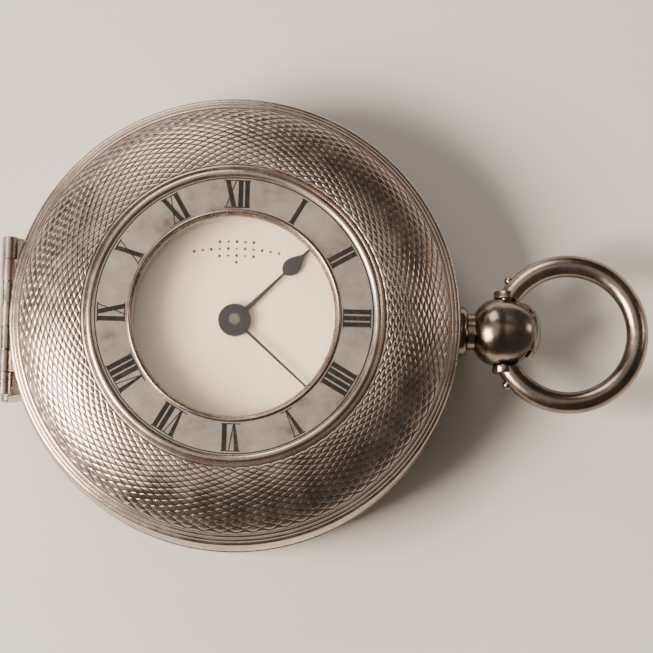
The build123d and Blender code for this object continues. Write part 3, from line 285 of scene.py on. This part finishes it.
GRAINS = 80
CUT_PITCH = 0.305
CUT_DEPTH = 0.048
ROWS = 4  # rows of vertices from one cut to the next


def engine_turn(piece, outer, lines, height_at, outward):
    """Cuts barleycorn inwards from a radius: rows of vertices move onto wavy circles and rise between them."""
    heights = piece.data.attributes.new("cut_height", "FLOAT", "POINT")
    for vert in piece.data.vertices:
        radius, turn = hypot(vert.co.x, vert.co.y) / MM, atan2(vert.co.y, vert.co.x)
        row = (outer - radius) / CUT_PITCH * ROWS
        heights.data[vert.index].value = 1
        if abs(row - round(row)) > 0.01 or not 0 <= round(row) <= lines * ROWS:
            continue
        if abs(vert.co.z / MM - height_at(radius)) > 0.02:
            continue
        line, share = round(row) // ROWS, round(row) % ROWS / ROWS
        this, following = [
            0 if number in (0, lines) else (0.44 if number % 2 else -0.44) * cos(GRAINS * turn)
            for number in (line, line + 1)
        ]
        room = 1 + following - this
        ridge = min(1, 1.4 * room) * (1 - abs(2 * share - 1) ** 3)
        moved = outer - (line + this + share * room) * CUT_PITCH
        height = height_at(moved) + outward * CUT_DEPTH * (ridge - 1)
        vert.co = Vector((moved * cos(turn), moved * sin(turn), height)) * MM
        heights.data[vert.index].value = ridge


def cover_rim(joint, outward):
    """The edge of a cover over its skirt and two beads, as (radius, height)."""
    rise = [(24, 0.03), (24, 0.55)] + curve((24, 0.55), (23.9, 0.82), (23.62, 0.95), 5)
    rise += curve((23.62, 0.95), (23.50, 1.22), (23.22, 1.30), 6)
    rise += curve((23.22, 1.30), (23.10, 1.57), (22.82, 1.65), 6)
    return [(radius, joint + outward * height) for radius, height in rise]


def raised(joint, outward, points):
    return [(radius, joint + outward * height) for radius, height in points]


# The groove colour here is painted shade, laid dark low in each cut of the lid and back.
turned_silver = worn_silver("engine_turned_silver", "#C0AFA4", "#AC9B91", 0.24, 0.2, groove="#2A211D")
CROWN = ((22.82, 1.65), (20.2, 3.65), (15.9, 4.75))
crown_r, crown_h, crown_round = arc(*CROWN)


def crown_height(radius):
    return FRONT_JOINT + crown_h + (crown_round ** 2 - (radius - crown_r) ** 2) ** 0.5


LID_CUTS = 22
LID_CUT_R = 22.8  # the outermost cut
lid = bmesh.new()
rows = [LID_CUT_R - CUT_PITCH * row / ROWS for row in range(LID_CUTS * ROWS + 1)]
lid_profile = cover_rim(FRONT_JOINT, 1) + [(radius, crown_height(radius)) for radius in rows]
lid_profile += raised(FRONT_JOINT, 1, [(15.9, 4.75), (15.82, 4.62), (15.7, 4.68)] + curve(
    (15.7, 4.68), (15.25, 5.0), (14.8, 4.8), 8))
lid_profile += raised(
    FRONT_JOINT, 1, [(14.2, 4.8), (13, 4.8), (11.8, 4.8), (11.33, 4.8), (11.3, 4.77), (11.3, 4.2), (15.6, 4.05)],
)
lid_profile += raised(FRONT_JOINT, 1, curve((15.6, 4.05), (19.9, 3.0), (22.3, 1.35), 9))
lid_profile += raised(FRONT_JOINT, 1, [(23.2, 0.5), (22.85, 0.5), (22.85, 0.1), (23.2, 0.1), (23.2, 0.03)])
turned(lid, lid_profile, 8 * GRAINS)
front_lid = finished("front_lid", lid, "lid", "case_silver", ["front_cover"], turned_silver)
engine_turn(front_lid, LID_CUT_R, LID_CUTS, crown_height, 1)


def hinge_recess(joint, outward, thick):
    """What a cover gives up to the knuckles and tongues of its neighbours."""
    tool = bmesh.new()
    knuckles(tool, joint, (0, 2, 3, 4, 6), radius=0.9, bore=0.01, ease=-0.02)
    for station in (2, 4):
        along = (station + 0.5) * KNUCKLE - HINGE_LENGTH / 2
        low, high = sorted((joint + outward * -0.2, joint + outward * (0.03 + thick)))
        block(tool, (HINGE_X, along - KNUCKLE / 2, low), (HINGE_X + 2.4, along + KNUCKLE / 2, high), soft=0)
    return tool


def hinge_leaf(mesh, joint, outward, stations, reach, thick):
    """The knuckles of one cover with the tongue that joins each to the cover's edge."""
    knuckles(mesh, joint, stations)
    for station in stations:
        along = (station + 0.5) * KNUCKLE - HINGE_LENGTH / 2
        low, high = sorted((joint + outward * 0.03, joint + outward * (0.03 + thick)))
        half = KNUCKLE / 2 - 0.03
        block(mesh, (HINGE_X + 0.4, along - half, low), (HINGE_X + reach, along + half, high))


cut_away(front_lid, hinge_recess(FRONT_JOINT, 1, 0.55))
lid_leaf = bmesh.new()
hinge_leaf(lid_leaf, FRONT_JOINT, 1, (1, 5), 1.45, 0.47)
finished("lid_hinge_leaf", lid_leaf, "lid", "case_silver", [], polished_silver)

# ---- Chapter ring
# The flat of the lid round the window carries the hours in black enamel, flush in the silver. It was turned
# flat, so it has a fine circular grain, and handling has left it duller and more stained than the rest.
# The hours themselves are the solids that the frame brings, with their own enamel.


def faces_between(piece, inner, outer, low, high):
    """The faces of a turned piece that lie in a band of radius and height."""
    return [
        face for face in piece.data.polygons
        if inner < hypot(face.center.x, face.center.y) / MM < outer and low < face.center.z / MM < high
    ]


def chapter_silver():
    """Turned flat silver: a circular grain 0.06 mm apart, stains in patches of 2 to 5 mm, a soft wide gloss."""
    made, tree, output = fresh("turned_flat_silver")
    place = add(tree, "TexCoord", {}).outputs["Object"]
    across = add(tree, "SeparateXYZ", {"Vector": place})
    flat = add(tree, "CombineXYZ", {"X": across.outputs["X"], "Y": across.outputs["Y"]})
    radius = add(tree, "VectorMath", {0: flat.outputs[0]}, operation="LENGTH")
    grain = add(tree, "TexNoise", {"W": radius.outputs["Value"], "Scale": 1 / (0.12 * MM), "Detail": 4},
                noise_dimensions="1D")
    stains = add(tree, "TexNoise", {"Vector": place, "Scale": 1 / (4.2 * MM), "Detail": 6, "Roughness": 0.62})
    colour = add(tree, "ValToRGB", {"Fac": stains.outputs["Fac"]})
    ramp(colour, [(0.3, "#7D7067"), (0.45, "#AEA197"), (0.66, "#C9BCB0")])
    streaks = add(tree, "Mapping", {"Vector": place, "Rotation": (0, 0, 0.9), "Scale": (1, 5, 1)})
    rubbed = add(tree, "TexNoise", {"Vector": streaks.outputs[0], "Scale": 1 / (0.8 * MM), "Detail": 7,
                                    "Roughness": 0.75})
    gloss = add(tree, "MapRange", {"Value": rubbed.outputs["Fac"], "From Min": 0.3, "From Max": 0.7,
                                   "To Min": 0.33, "To Max": 0.45})
    heights = add(tree, "Math", {0: rubbed.outputs["Fac"], 1: grain.outputs["Fac"]}, operation="ADD")
    bump = add(tree, "Bump", {"Height": heights.outputs[0], "Strength": 0.3, "Distance": 0.01 * MM})
    shader = add(tree, "BsdfPrincipled", {"Base Color": colour.outputs["Color"], "Metallic": 1.0,
                                          "Roughness": gloss.outputs[0], "Normal": bump.outputs["Normal"]})
    tree.links.new(shader.outputs[0], output.inputs["Surface"])
    return made


def black_enamel():
    """Fired black enamel: a deep, wet-looking black, a little worn down and dulled where it stands proud."""
    made, tree, output = fresh("fired_black_enamel")
    place = add(tree, "TexCoord", {}).outputs["Object"]
    wear = add(tree, "TexNoise", {"Vector": place, "Scale": 1 / (0.9 * MM), "Detail": 6, "Roughness": 0.7})
    colour = add(tree, "ValToRGB", {"Fac": wear.outputs["Fac"]})
    ramp(colour, [(0.45, "#131110"), (0.72, "#2E2824")])
    gloss = add(tree, "MapRange", {"Value": wear.outputs["Fac"], "From Min": 0.3, "From Max": 0.7, "To Min": 0.14,
                                   "To Max": 0.36})
    shader = add(tree, "BsdfPrincipled", {"Base Color": colour.outputs["Color"], "Roughness": gloss.outputs[0],
                                          "IOR": 1.52})
    tree.links.new(shader.outputs[0], output.inputs["Surface"])
    return made


front_lid.data.materials.append(chapter_silver())
for face in faces_between(front_lid, 11.3, 14.9, 14.7, 14.9):
    face.material_index = 1
enamel_black = black_enamel()


def coat(piece, material):
    """Gives a solid from the frame its one material."""
    piece.data.materials.clear()
    piece.data.materials.append(material)


coat(nodes["chapter_enamel"], enamel_black)

# ---- Window
# A low domed glass in a thin silver bezel, pressed into the lid from inside. Old crown glass is faintly warm,
# polished on both sides, with a few fine rubs.


def watch_glass():
    """Ground and polished glass: clear, faintly warm, with light rubs that only show in the gloss."""
    made, tree, output = fresh("polished_watch_glass")
    place = add(tree, "TexCoord", {}).outputs["Object"]
    rubs = add(tree, "TexNoise", {"Vector": place, "Scale": 1 / (3 * MM), "Detail": 6, "Roughness": 0.7})
    gloss = add(tree, "MapRange", {"Value": rubs.outputs["Fac"], "From Min": 0.5, "From Max": 0.8, "To Min": 0.01,
                                   "To Max": 0.06})
    shader = add(tree, "BsdfPrincipled", {"Base Color": linear("#FBF8F2"), "Roughness": gloss.outputs[0],
                                          "IOR": 1.5, "Transmission Weight": 1.0})
    clear = add(tree, "BsdfTransparent", {"Color": linear("#FBF8F2")})
    lamp = add(tree, "LightPath", {})
    both = add(tree, "MixShader", {0: lamp.outputs["Is Shadow Ray"], 1: shader.outputs[0], 2: clear.outputs[0]})
    tree.links.new(both.outputs[0], output.inputs["Surface"])
    return made


clear_glass = watch_glass()
window = bmesh.new()
turned(
    window, curve((0, 14.5), (4.8, 14.43), (9.5, 14.22), 12) + [(10.85, 14.22), (10.85, 14.68), (10.8, 14.73)]
    + curve((10.8, 14.73), (5.5, 15.005), (0, 15.1), 14) + [(0, 14.5)], 160,
)
finished("window_crystal", window, "lid", "clear_glass", ["window_glass"], clear_glass)
window_ring = bmesh.new()
turned(
    window_ring, [(11.29, 14.12), (11.29, 14.87)] + curve((11.29, 14.87), (11.085, 15.01), (10.89, 14.87), 8)
    + [(10.89, 14.2), (10.6, 14.2), (10.6, 13.95), (12, 13.95), (12, 14.04)], 200,
)
finished("window_rim", window_ring, "lid", "case_silver", ["window_bezel"], polished_silver)

# ---- Dial bezel and crystal
# Under the lid a silver bezel on the same hinge holds the watch's own crystal, a flat-topped dome snapped
# into its groove.

inner_silver = worn_silver("clean_polished_silver", "#C6BDB1", "#A59A8D", 0.2, 0.2)
bezel = bmesh.new()
turned(
    bezel, [(20.5, 10.03), (21.5, 10.03), (21.55, 10.08), (21.55, 10.9)]
    + curve((21.55, 10.9), (21.42, 11.3), (21.1, 11.5), 8)
    + [(20.85, 11.5), (21.03, 11.2), (21.03, 10.85), (20.5, 10.85)], 240,
)
finished("inner_bezel", bezel, "bezel", "inner_silver", ["dial_bezel"], inner_silver)
bezel_leaf = bmesh.new()
hinge_leaf(bezel_leaf, FRONT_JOINT, 1, (2, 4), 3.15, 0.47)
finished("bezel_hinge_leaf", bezel_leaf, "bezel", "inner_silver", [], inner_silver)
crystal = bmesh.new()
turned(
    crystal, [(20.3, 10.88), (21.0, 10.88), (21.0, 11.16), (20.55, 11.16)]
    + curve((20.55, 11.16), (20.35, 11.8), (19.9, 12.25), 6) + curve((19.9, 12.25), (10.2, 13.06), (0, 13.35), 16)
    + [(0, 12.95)] + curve((0, 12.95), (10, 12.7), (19.6, 11.92), 16), 240,
)
finished("dial_glass", crystal, "bezel", "clear_glass", ["dial_crystal"], clear_glass)

# ---- Back cover
# The back is spun like the lid and closes on the other side of the middle. It is engine-turned too, round a
# plain polished disc that the watch lies on.

BELLY = ((7, 4.4), (13.25, 4.188), (19.5, 3.55))
belly_r, belly_h, belly_round = arc(*BELLY)


def belly_height(radius):
    return BACK_JOINT - belly_h - (belly_round ** 2 - (radius - belly_r) ** 2) ** 0.5


BACK_CUTS = 36
BACK_CUT_R = 19.3  # the outermost cut
back = bmesh.new()
back_profile = cover_rim(BACK_JOINT, -1) + raised(
    BACK_JOINT, -1, curve((22.82, 1.65), (21.4, 2.95), (19.5, 3.55), 9))
rows = [BACK_CUT_R - CUT_PITCH * row / ROWS for row in range(BACK_CUTS * ROWS + 1)]
back_profile += [(radius, belly_height(radius)) for radius in rows]
back_profile += [(8.3, belly_height(8.3)), (8.1, belly_height(8.1)), (7, 0), (0, 0), (0, 0.5), (7, 0.5)]
back_profile += raised(BACK_JOINT, -1, curve((7, 3.9), (13.2, 3.69), (19.3, 3.05), 9))
back_profile += raised(BACK_JOINT, -1, curve((19.3, 3.05), (21.1, 2.45), (22.3, 1.25), 7))
back_profile += raised(BACK_JOINT, -1, [(23.2, 0.5), (23.2, 0.03)])
turned(back, back_profile, 6 * GRAINS)
back_lid = finished("back_lid", back, "back", "case_silver", ["back_cover"], turned_silver)
engine_turn(back_lid, BACK_CUT_R, BACK_CUTS, belly_height, -1)
cut_away(back_lid, hinge_recess(BACK_JOINT, -1, 0.55))
back_leaf = bmesh.new()
hinge_leaf(back_leaf, BACK_JOINT, -1, (1, 5), 1.45, 0.47)
finished("back_hinge_leaf", back_leaf, "back", "case_silver", [], polished_silver)

# ---- Dust dome
# A second, thinner silver cover inside the back keeps dust from the movement. It has one turned hole, over
# the winding square.

BARREL_AT = (4.275, 7.4045)
dome = bmesh.new()
dome_profile = [(20.9, 0.03), (22.9, 0.03), (22.9, 0.4), (21.3, 0.4), (20.7, 1.2)]
dome_profile += curve((20.7, 1.2), (19.3, 2.35), (17.0, 2.8), 10) + [(12, 2.8), (0, 2.8), (0, 2.4), (16.8, 2.4)]
dome_profile += curve((16.8, 2.4), (19.0, 1.95), (20.3, 1.0), 10)
turned(dome, raised(BACK_JOINT, -1, dome_profile), 240)
dust_cover = finished("dust_cover", dome, "dome", "inner_silver", ["dust_dome"], inner_silver)
key_hole = bmesh.new()
turned(key_hole, [(0, 1), (2.25, 1), (2.25, 3), (0, 3)], 64, at=(*BARREL_AT, 0))
cut_away(dust_cover, key_hole)
dome_leaf = bmesh.new()
hinge_leaf(dome_leaf, BACK_JOINT, -1, (2, 4), 2.0, 0.35)
finished("dome_hinge_leaf", dome_leaf, "dome", "inner_silver", [], inner_silver)

# ---- Pendant and push-piece
# The pendant is a turned silver ball on a short neck, soldered to the middle at three o'clock. Its outer third
# is the head of the push-piece, which parts from the ball along a curved seam and slides in to free the lid.

BALL_X, BALL_R, BALL_LONG, BALL_POWER = 28.6, 3.55, 4.05, 2.5


def ball_outline(start, steps):
    """The ball's outer half from a place along the pendant to its end, as (radius, place)."""
    shares = [sin(pi / 2 * step / steps) for step in range(steps + 1)]
    first = (start - BALL_X) / BALL_LONG
    return [
        (BALL_R * max(0, 1 - (first + (1 - first) * share) ** BALL_POWER) ** (1 / BALL_POWER),
         BALL_X + BALL_LONG * (first + (1 - first) * share))
        for share in shares
    ]


pendant_silver = worn_silver("handled_silver", "#A7978B", "#6F6058", 0.2, 0.45)
ball = bmesh.new()
neck = [(0, 23), (2.7, 23), (2.7, 24.1)] + [
    (radius, place) for place, radius in curve((24.1, 2.7), (24.65, 2.5), (24.85, 1.95), 8)
]
shoulder = [(radius, place) for place, radius in curve((25.55, 1.95), (26.35, 3.03), (28.6, 3.55), 16)]
turned(
    ball, neck + [(1.95, 25.55)] + shoulder + ball_outline(BALL_X, 22)[1:], 120, at=(0, 0, MIDDLE_Z), axis=(1, 0, 0),
)
pendant = finished("pendant_ball", ball, "case", "case_silver", ["pendant"], pendant_silver)
beyond_seam = bmesh.new()
turned(beyond_seam, [(4.1, 1), (9, 1), (9, 14), (4.1, 14)], 48, at=(27.8, 0, 0), turn=157.6, start=-78.8)
cut_away(pendant, beyond_seam)

head = bmesh.new()
turned(head, [(0, 29.4)] + ball_outline(29.4, 24), 120, at=(0, 0, MIDDLE_Z), axis=(1, 0, 0))
push_head = finished("push_piece_head", head, "push", "case_silver", ["push_piece"], pendant_silver)
inside_seam = bmesh.new()
turned(inside_seam, [(0, 1), (4.1, 1), (4.1, 14), (0, 14)], 96, at=(28.18, 0, 0))
cut_away(push_head, inside_seam)
plunger = bmesh.new()
turned(
    plunger, [(0, 22.23), (0.8, 22.23), (0.8, 30), (2.57, 30), (2.57, 31.9), (0, 31.9)], 48, at=(0, 0, MIDDLE_Z),
    axis=(1, 0, 0),
)
finished("push_piece_plunger", plunger, "push", "case_silver", [], pendant_silver)

# ---- Bow
# The bow is a length of round silver wire bent to a ring, with flat-faced eyes that pivot on the ball and a
# small bead soldered outside each end.

BOW_X, BOW_RING, BOW_WIRE = 35.6, 7.38, 1.175
ring = bmesh.new()
wire = [(BOW_RING + BOW_WIRE * cos(pi * step / 18), BOW_WIRE * sin(pi * step / 18)) for step in range(36)]
turned(ring, wire, 168, at=(BOW_X, 0, MIDDLE_Z), turn=299, start=-149.5)
eyes = bmesh.new()
for side in (1, -1):
    turned(
        eyes, [(0, 3.62), (1.2, 3.62), (1.27, 3.69), (1.27, 4.3), (1.2, 4.4), (0, 4.4)], 48, at=(28.8, 0, MIDDLE_Z),
        axis=(0, side, 0),
    )
    turned(eyes, [(0, 2.45), (0.6, 2.45), (0.6, 4), (0, 4)], 32, at=(28.8, 0, MIDDLE_Z), axis=(0, side, 0))
    bead_turn = radians(139 * side)
    bead = bmesh.ops.create_icosphere(eyes, subdivisions=3, radius=0.5 * MM)["verts"]
    reach = BOW_RING + BOW_WIRE
    bmesh.ops.translate(
        eyes, vec=Vector((BOW_X + reach * cos(bead_turn), reach * sin(bead_turn), MIDDLE_Z)) * MM, verts=bead,
    )
bow_ring = finished("bow_ring", ring, "bow_ring", "case_silver", ["bow"], pendant_silver)
finished("bow_eyes", eyes, "bow_ring", "case_silver", [], pendant_silver)
room_for_ball = bmesh.new()
block(room_for_ball, (24.3, -3.62, 2.7), (33.3, 3.62, 11.7))
cut_away(bow_ring, room_for_ball)

# ---- Dial
# The dial is a disc of copper enamelled white and fired, with a soft gloss that dips a little where it was
# held. Its own hours and rings are fired on in black; a cross of small lozenges stands below twelve.


def white_enamel():
    """Vitreous enamel: a milky white with a deep clear gloss, faintly uneven over 5 mm and gone dim in patches."""
    made, tree, output = fresh("fired_white_enamel")
    place = add(tree, "TexCoord", {}).outputs["Object"]
    age = add(tree, "TexNoise", {"Vector": place, "Scale": 1 / (11 * MM), "Detail": 4})
    colour = add(tree, "ValToRGB", {"Fac": age.outputs["Fac"]})
    ramp(colour, [(0.35, "#C2BCBA"), (0.65, "#CFCAC8")])
    waves = add(tree, "TexNoise", {"Vector": place, "Scale": 1 / (5 * MM), "Detail": 2})
    bump = add(tree, "Bump", {"Height": waves.outputs["Fac"], "Strength": 0.25, "Distance": 0.04 * MM})
    shader = add(tree, "BsdfPrincipled", {"Base Color": colour.outputs["Color"], "Roughness": 0.16, "IOR": 1.5,
                                          "Normal": bump.outputs["Normal"]})
    tree.links.new(shader.outputs[0], output.inputs["Surface"])
    return made


coat(nodes["dial"], white_enamel())
coat(nodes["dial_numerals"], enamel_black)
lozenges = bmesh.new()
for up, count, across in ((8.5, 5, 3.6), (7.75, 11, 9), (7.0, 5, 3.6), (6.3, 1, 0)):
    for number in range(count):
        diamond = bmesh.ops.create_cone(
            lozenges, cap_ends=True, segments=4, radius1=0.19 * MM, radius2=0.17 * MM, depth=0.02 * MM,
        )["verts"]
        along = across * (number / max(count - 1, 1) - 0.5)
        bmesh.ops.scale(lozenges, vec=(1, 0.75 if number % 2 else 1.15, 1), verts=diamond)
        bmesh.ops.translate(lozenges, vec=Vector((along, up - 0.02 * along ** 2, 10.41)) * MM, verts=diamond)
finished("dial_ornament", lozenges, "case", "black_enamel", [], enamel_black)

# ---- Hands
# The spade hands are filed from thin steel and blued by heat to a dark blue-black, over a polished steel
# cannon pinion with a small square for the key.


def tempered_steel(name, low, high, rough, grain):
    """Hardened steel: fine polishing lines 0.03 mm apart, and whatever colour the heat or the wheel left."""
    made, tree, output = fresh(name)
    place = add(tree, "TexCoord", {}).outputs["Object"]
    tint = add(tree, "TexNoise", {"Vector": place, "Scale": 1 / (2.5 * MM), "Detail": 4})
    colour = add(tree, "ValToRGB", {"Fac": tint.outputs["Fac"]})
    ramp(colour, [(0.35, low), (0.65, high)])
    lines = add(tree, "Mapping", {"Vector": place, "Rotation": (0, 0, 0.8), "Scale": (1, 12, 1)})
    polish = add(tree, "TexNoise", {"Vector": lines.outputs[0], "Scale": 1 / (0.4 * MM), "Detail": 4})
    gloss = add(tree, "MapRange", {"Value": polish.outputs["Fac"], "From Min": 0.3, "From Max": 0.7,
                                   "To Min": rough - 0.06, "To Max": rough + 0.08})
    bump = add(tree, "Bump", {"Height": polish.outputs["Fac"], "Strength": grain, "Distance": 0.01 * MM})
    shader = add(tree, "BsdfPrincipled", {"Base Color": colour.outputs["Color"], "Metallic": 1.0,
                                          "Roughness": gloss.outputs[0], "Normal": bump.outputs["Normal"]})
    tree.links.new(shader.outputs[0], output.inputs["Surface"])
    return made


blued_steel = tempered_steel("heat_blued_steel", "#161B2C", "#232B45", 0.22, 0.2)
polished_steel = tempered_steel("polished_steel", "#8B8885", "#A7A4A1", 0.2, 0.3)
for name in ("hour_hand", "minute_hand"):
    coat(nodes[name], blued_steel)
for name in ("cannon_pinion", "front_hinge_pin", "back_hinge_pin"):
    coat(nodes[name], polished_steel)

# ---- Springs in the middle
# The lock spring and the fly spring are strips of tempered steel, left grey from the fire, and lie against the
# wall of the middle under one screw each.

spring_steel = tempered_steel("tempered_spring_steel", "#5A5856", "#75726F", 0.32, 0.5)
for name in ("lock_spring", "lift_spring", "mainspring"):
    coat(nodes[name], spring_steel)
coat(nodes["spring_screws"], blued_steel)

# ---- Movement plates, barrel and wheels
# The plates, cocks and wheels are brass, stoned smooth, frosted with acid and mercury-gilt, which gives a fine
# matt grain of about 0.05 mm; the wheels are grained in circles on the lathe before gilding.


def frosted_gilding():
    """Mercury-gilt brass: a soft pale gold with a sandy grain, brighter and smoother where it has been touched."""
    made, tree, output = fresh("frosted_gilt_brass")
    place = add(tree, "TexCoord", {}).outputs["Object"]
    tone = add(tree, "TexNoise", {"Vector": place, "Scale": 1 / (6 * MM), "Detail": 5})
    colour = add(tree, "ValToRGB", {"Fac": tone.outputs["Fac"]})
    ramp(colour, [(0.35, "#B8934A"), (0.65, "#D2B069")])
    sand = add(tree, "TexNoise", {"Vector": place, "Scale": 1 / (0.07 * MM), "Detail": 3})
    gloss = add(tree, "MapRange", {"Value": tone.outputs["Fac"], "From Min": 0.3, "From Max": 0.7, "To Min": 0.3,
                                   "To Max": 0.42})
    bump = add(tree, "Bump", {"Height": sand.outputs["Fac"], "Strength": 0.35, "Distance": 0.02 * MM})
    shader = add(tree, "BsdfPrincipled", {"Base Color": colour.outputs["Color"], "Metallic": 1.0,
                                          "Roughness": gloss.outputs[0], "Normal": bump.outputs["Normal"]})
    tree.links.new(shader.outputs[0], output.inputs["Surface"])
    return made


gilt_brass = frosted_gilding()
for name in (
    "top_plate", "pillar_plate", "pillars", "balance_cock", "pallet_cock", "barrel", "barrel_cover", "centre_wheel",
    "third_wheel", "fourth_wheel", "minute_wheel", "hour_wheel", "balance_wheel", "balance_screws",
):
    coat(nodes[name], gilt_brass)

# ---- Steel of the movement
# Arbors, pinions, the ratchet and its click are hardened steel, polished on their faces; screws and the
# hairspring are blued like the hands.

for name in (
    "winding_arbor", "ratchet_wheel", "click", "click_spring", "centre_pinion", "third_pinion", "fourth_pinion",
    "escape_pinion", "escape_wheel", "pallet_lever", "pallet_staff", "balance_staff", "regulator_index",
    "minute_wheel_post", "hairspring_stud",
):
    coat(nodes[name], polished_steel)
for name in ("movement_screws", "hairspring"):
    coat(nodes[name], blued_steel)

# ---- Jewels and dial feet
# The pivots run in rubies ground to discs and rubbed into the plates. The dial's feet are plain copper wire,
# brazed to its back before it was enamelled.


def ruby():
    """Ground ruby: a clear deep pink-red, polished, darker where it is thick."""
    made, tree, output = fresh("polished_ruby")
    place = add(tree, "TexCoord", {}).outputs["Object"]
    depth = add(tree, "TexNoise", {"Vector": place, "Scale": 1 / (0.6 * MM), "Detail": 2})
    colour = add(tree, "ValToRGB", {"Fac": depth.outputs["Fac"]})
    ramp(colour, [(0.35, "#8E1230"), (0.65, "#C22A4C")])
    shader = add(tree, "BsdfPrincipled", {"Base Color": colour.outputs["Color"], "Roughness": 0.06, "IOR": 1.76})
    tree.links.new(shader.outputs[0], output.inputs["Surface"])
    return made


polished_ruby = ruby()
for name in ("pallet_stones", "impulse_jewel", "balance_jewels", "plate_jewels"):
    coat(nodes[name], polished_ruby)
coat(nodes["dial_feet"], tempered_steel("drawn_copper_wire", "#9C5B3E", "#B8714F", 0.3, 0.3))

# ---- Table, light and camera
# The watch lies on its back on a plain pale table under large soft lamps, seen from almost straight above and
# a little from the six o'clock side.

table = bmesh.new()
bmesh.ops.create_grid(table, x_segments=1, y_segments=1, size=0.9)
table_mesh = bpy.data.meshes.new("table")
table.to_mesh(table_mesh)
table.free()
table_top = bpy.data.objects.new("table", table_mesh)
bpy.context.scene.collection.objects.link(table_top)
card, card_tree, card_output = fresh("matt_card")
card_place = add(card_tree, "TexCoord", {}).outputs["Object"]
fibres = add(card_tree, "TexNoise", {"Vector": card_place, "Scale": 1 / (1.5 * MM), "Detail": 4})
card_bump = add(card_tree, "Bump", {"Height": fibres.outputs["Fac"], "Strength": 0.05, "Distance": 0.05 * MM})
card_shader = add(card_tree, "BsdfPrincipled", {"Base Color": linear("#CFCBC5"), "Roughness": 0.8,
                                                "Normal": card_bump.outputs["Normal"]})
card_tree.links.new(card_shader.outputs[0], card_output.inputs["Surface"])
table_mesh.materials.append(card)

room = bpy.data.worlds.new("room")
room.use_nodes = True
room.node_tree.nodes["Background"].inputs["Color"].default_value = linear("#8C8782")
room.node_tree.nodes["Background"].inputs["Strength"].default_value = 0.35
bpy.context.scene.world = room


def lamp(name, place, size, power, tint):
    """A soft square lamp that faces the watch."""
    light = bpy.data.lights.new(name, "AREA")
    light.shape = "SQUARE"
    light.size = size
    light.energy = power
    light.color = linear(tint)[:3]
    holder = bpy.data.objects.new(name, light)
    holder.location = place
    holder.rotation_euler = (Vector((0.008, 0, 0.007)) - Vector(place)).to_track_quat("-Z", "Y").to_euler()
    bpy.context.scene.collection.objects.link(holder)


lamp("key_lamp", (-0.4, -0.12, 0.36), 0.26, 9.5, "#FFF1E2")
lamp("ceiling_lamp", (-0.2, 0.1, 0.85), 0.7, 1.0, "#FFF6EC")
lamp("overhead_lamp", (-0.25, 0.6, 0.45), 0.4, 2.6, "#FFF6EC")
lamp("side_lamp", (0.5, 0.12, 0.2), 0.12, 0.25, "#FFEEDD")

AIM = Vector((9.75, -0.23, 10)) * MM
DISTANCE = 0.45
TILT = radians(8.5)
ROLL = radians(1.5)
FRAME_WIDTH = 69.32  # what the picture spans at the watch, in millimetres
view = bpy.data.cameras.new("view")
view.sensor_width = 36
view.lens = view.sensor_width * DISTANCE / (FRAME_WIDTH * MM)
view.clip_start = 0.01
camera = bpy.data.objects.new("view", view)
camera.matrix_world = (
    Matrix.Translation(AIM) @ Matrix.Rotation(TILT, 4, "X") @ Matrix.Rotation(ROLL, 4, "Z")
    @ Matrix.Translation((0, 0, DISTANCE))
)
bpy.context.scene.collection.objects.link(camera)
bpy.context.scene.camera = camera
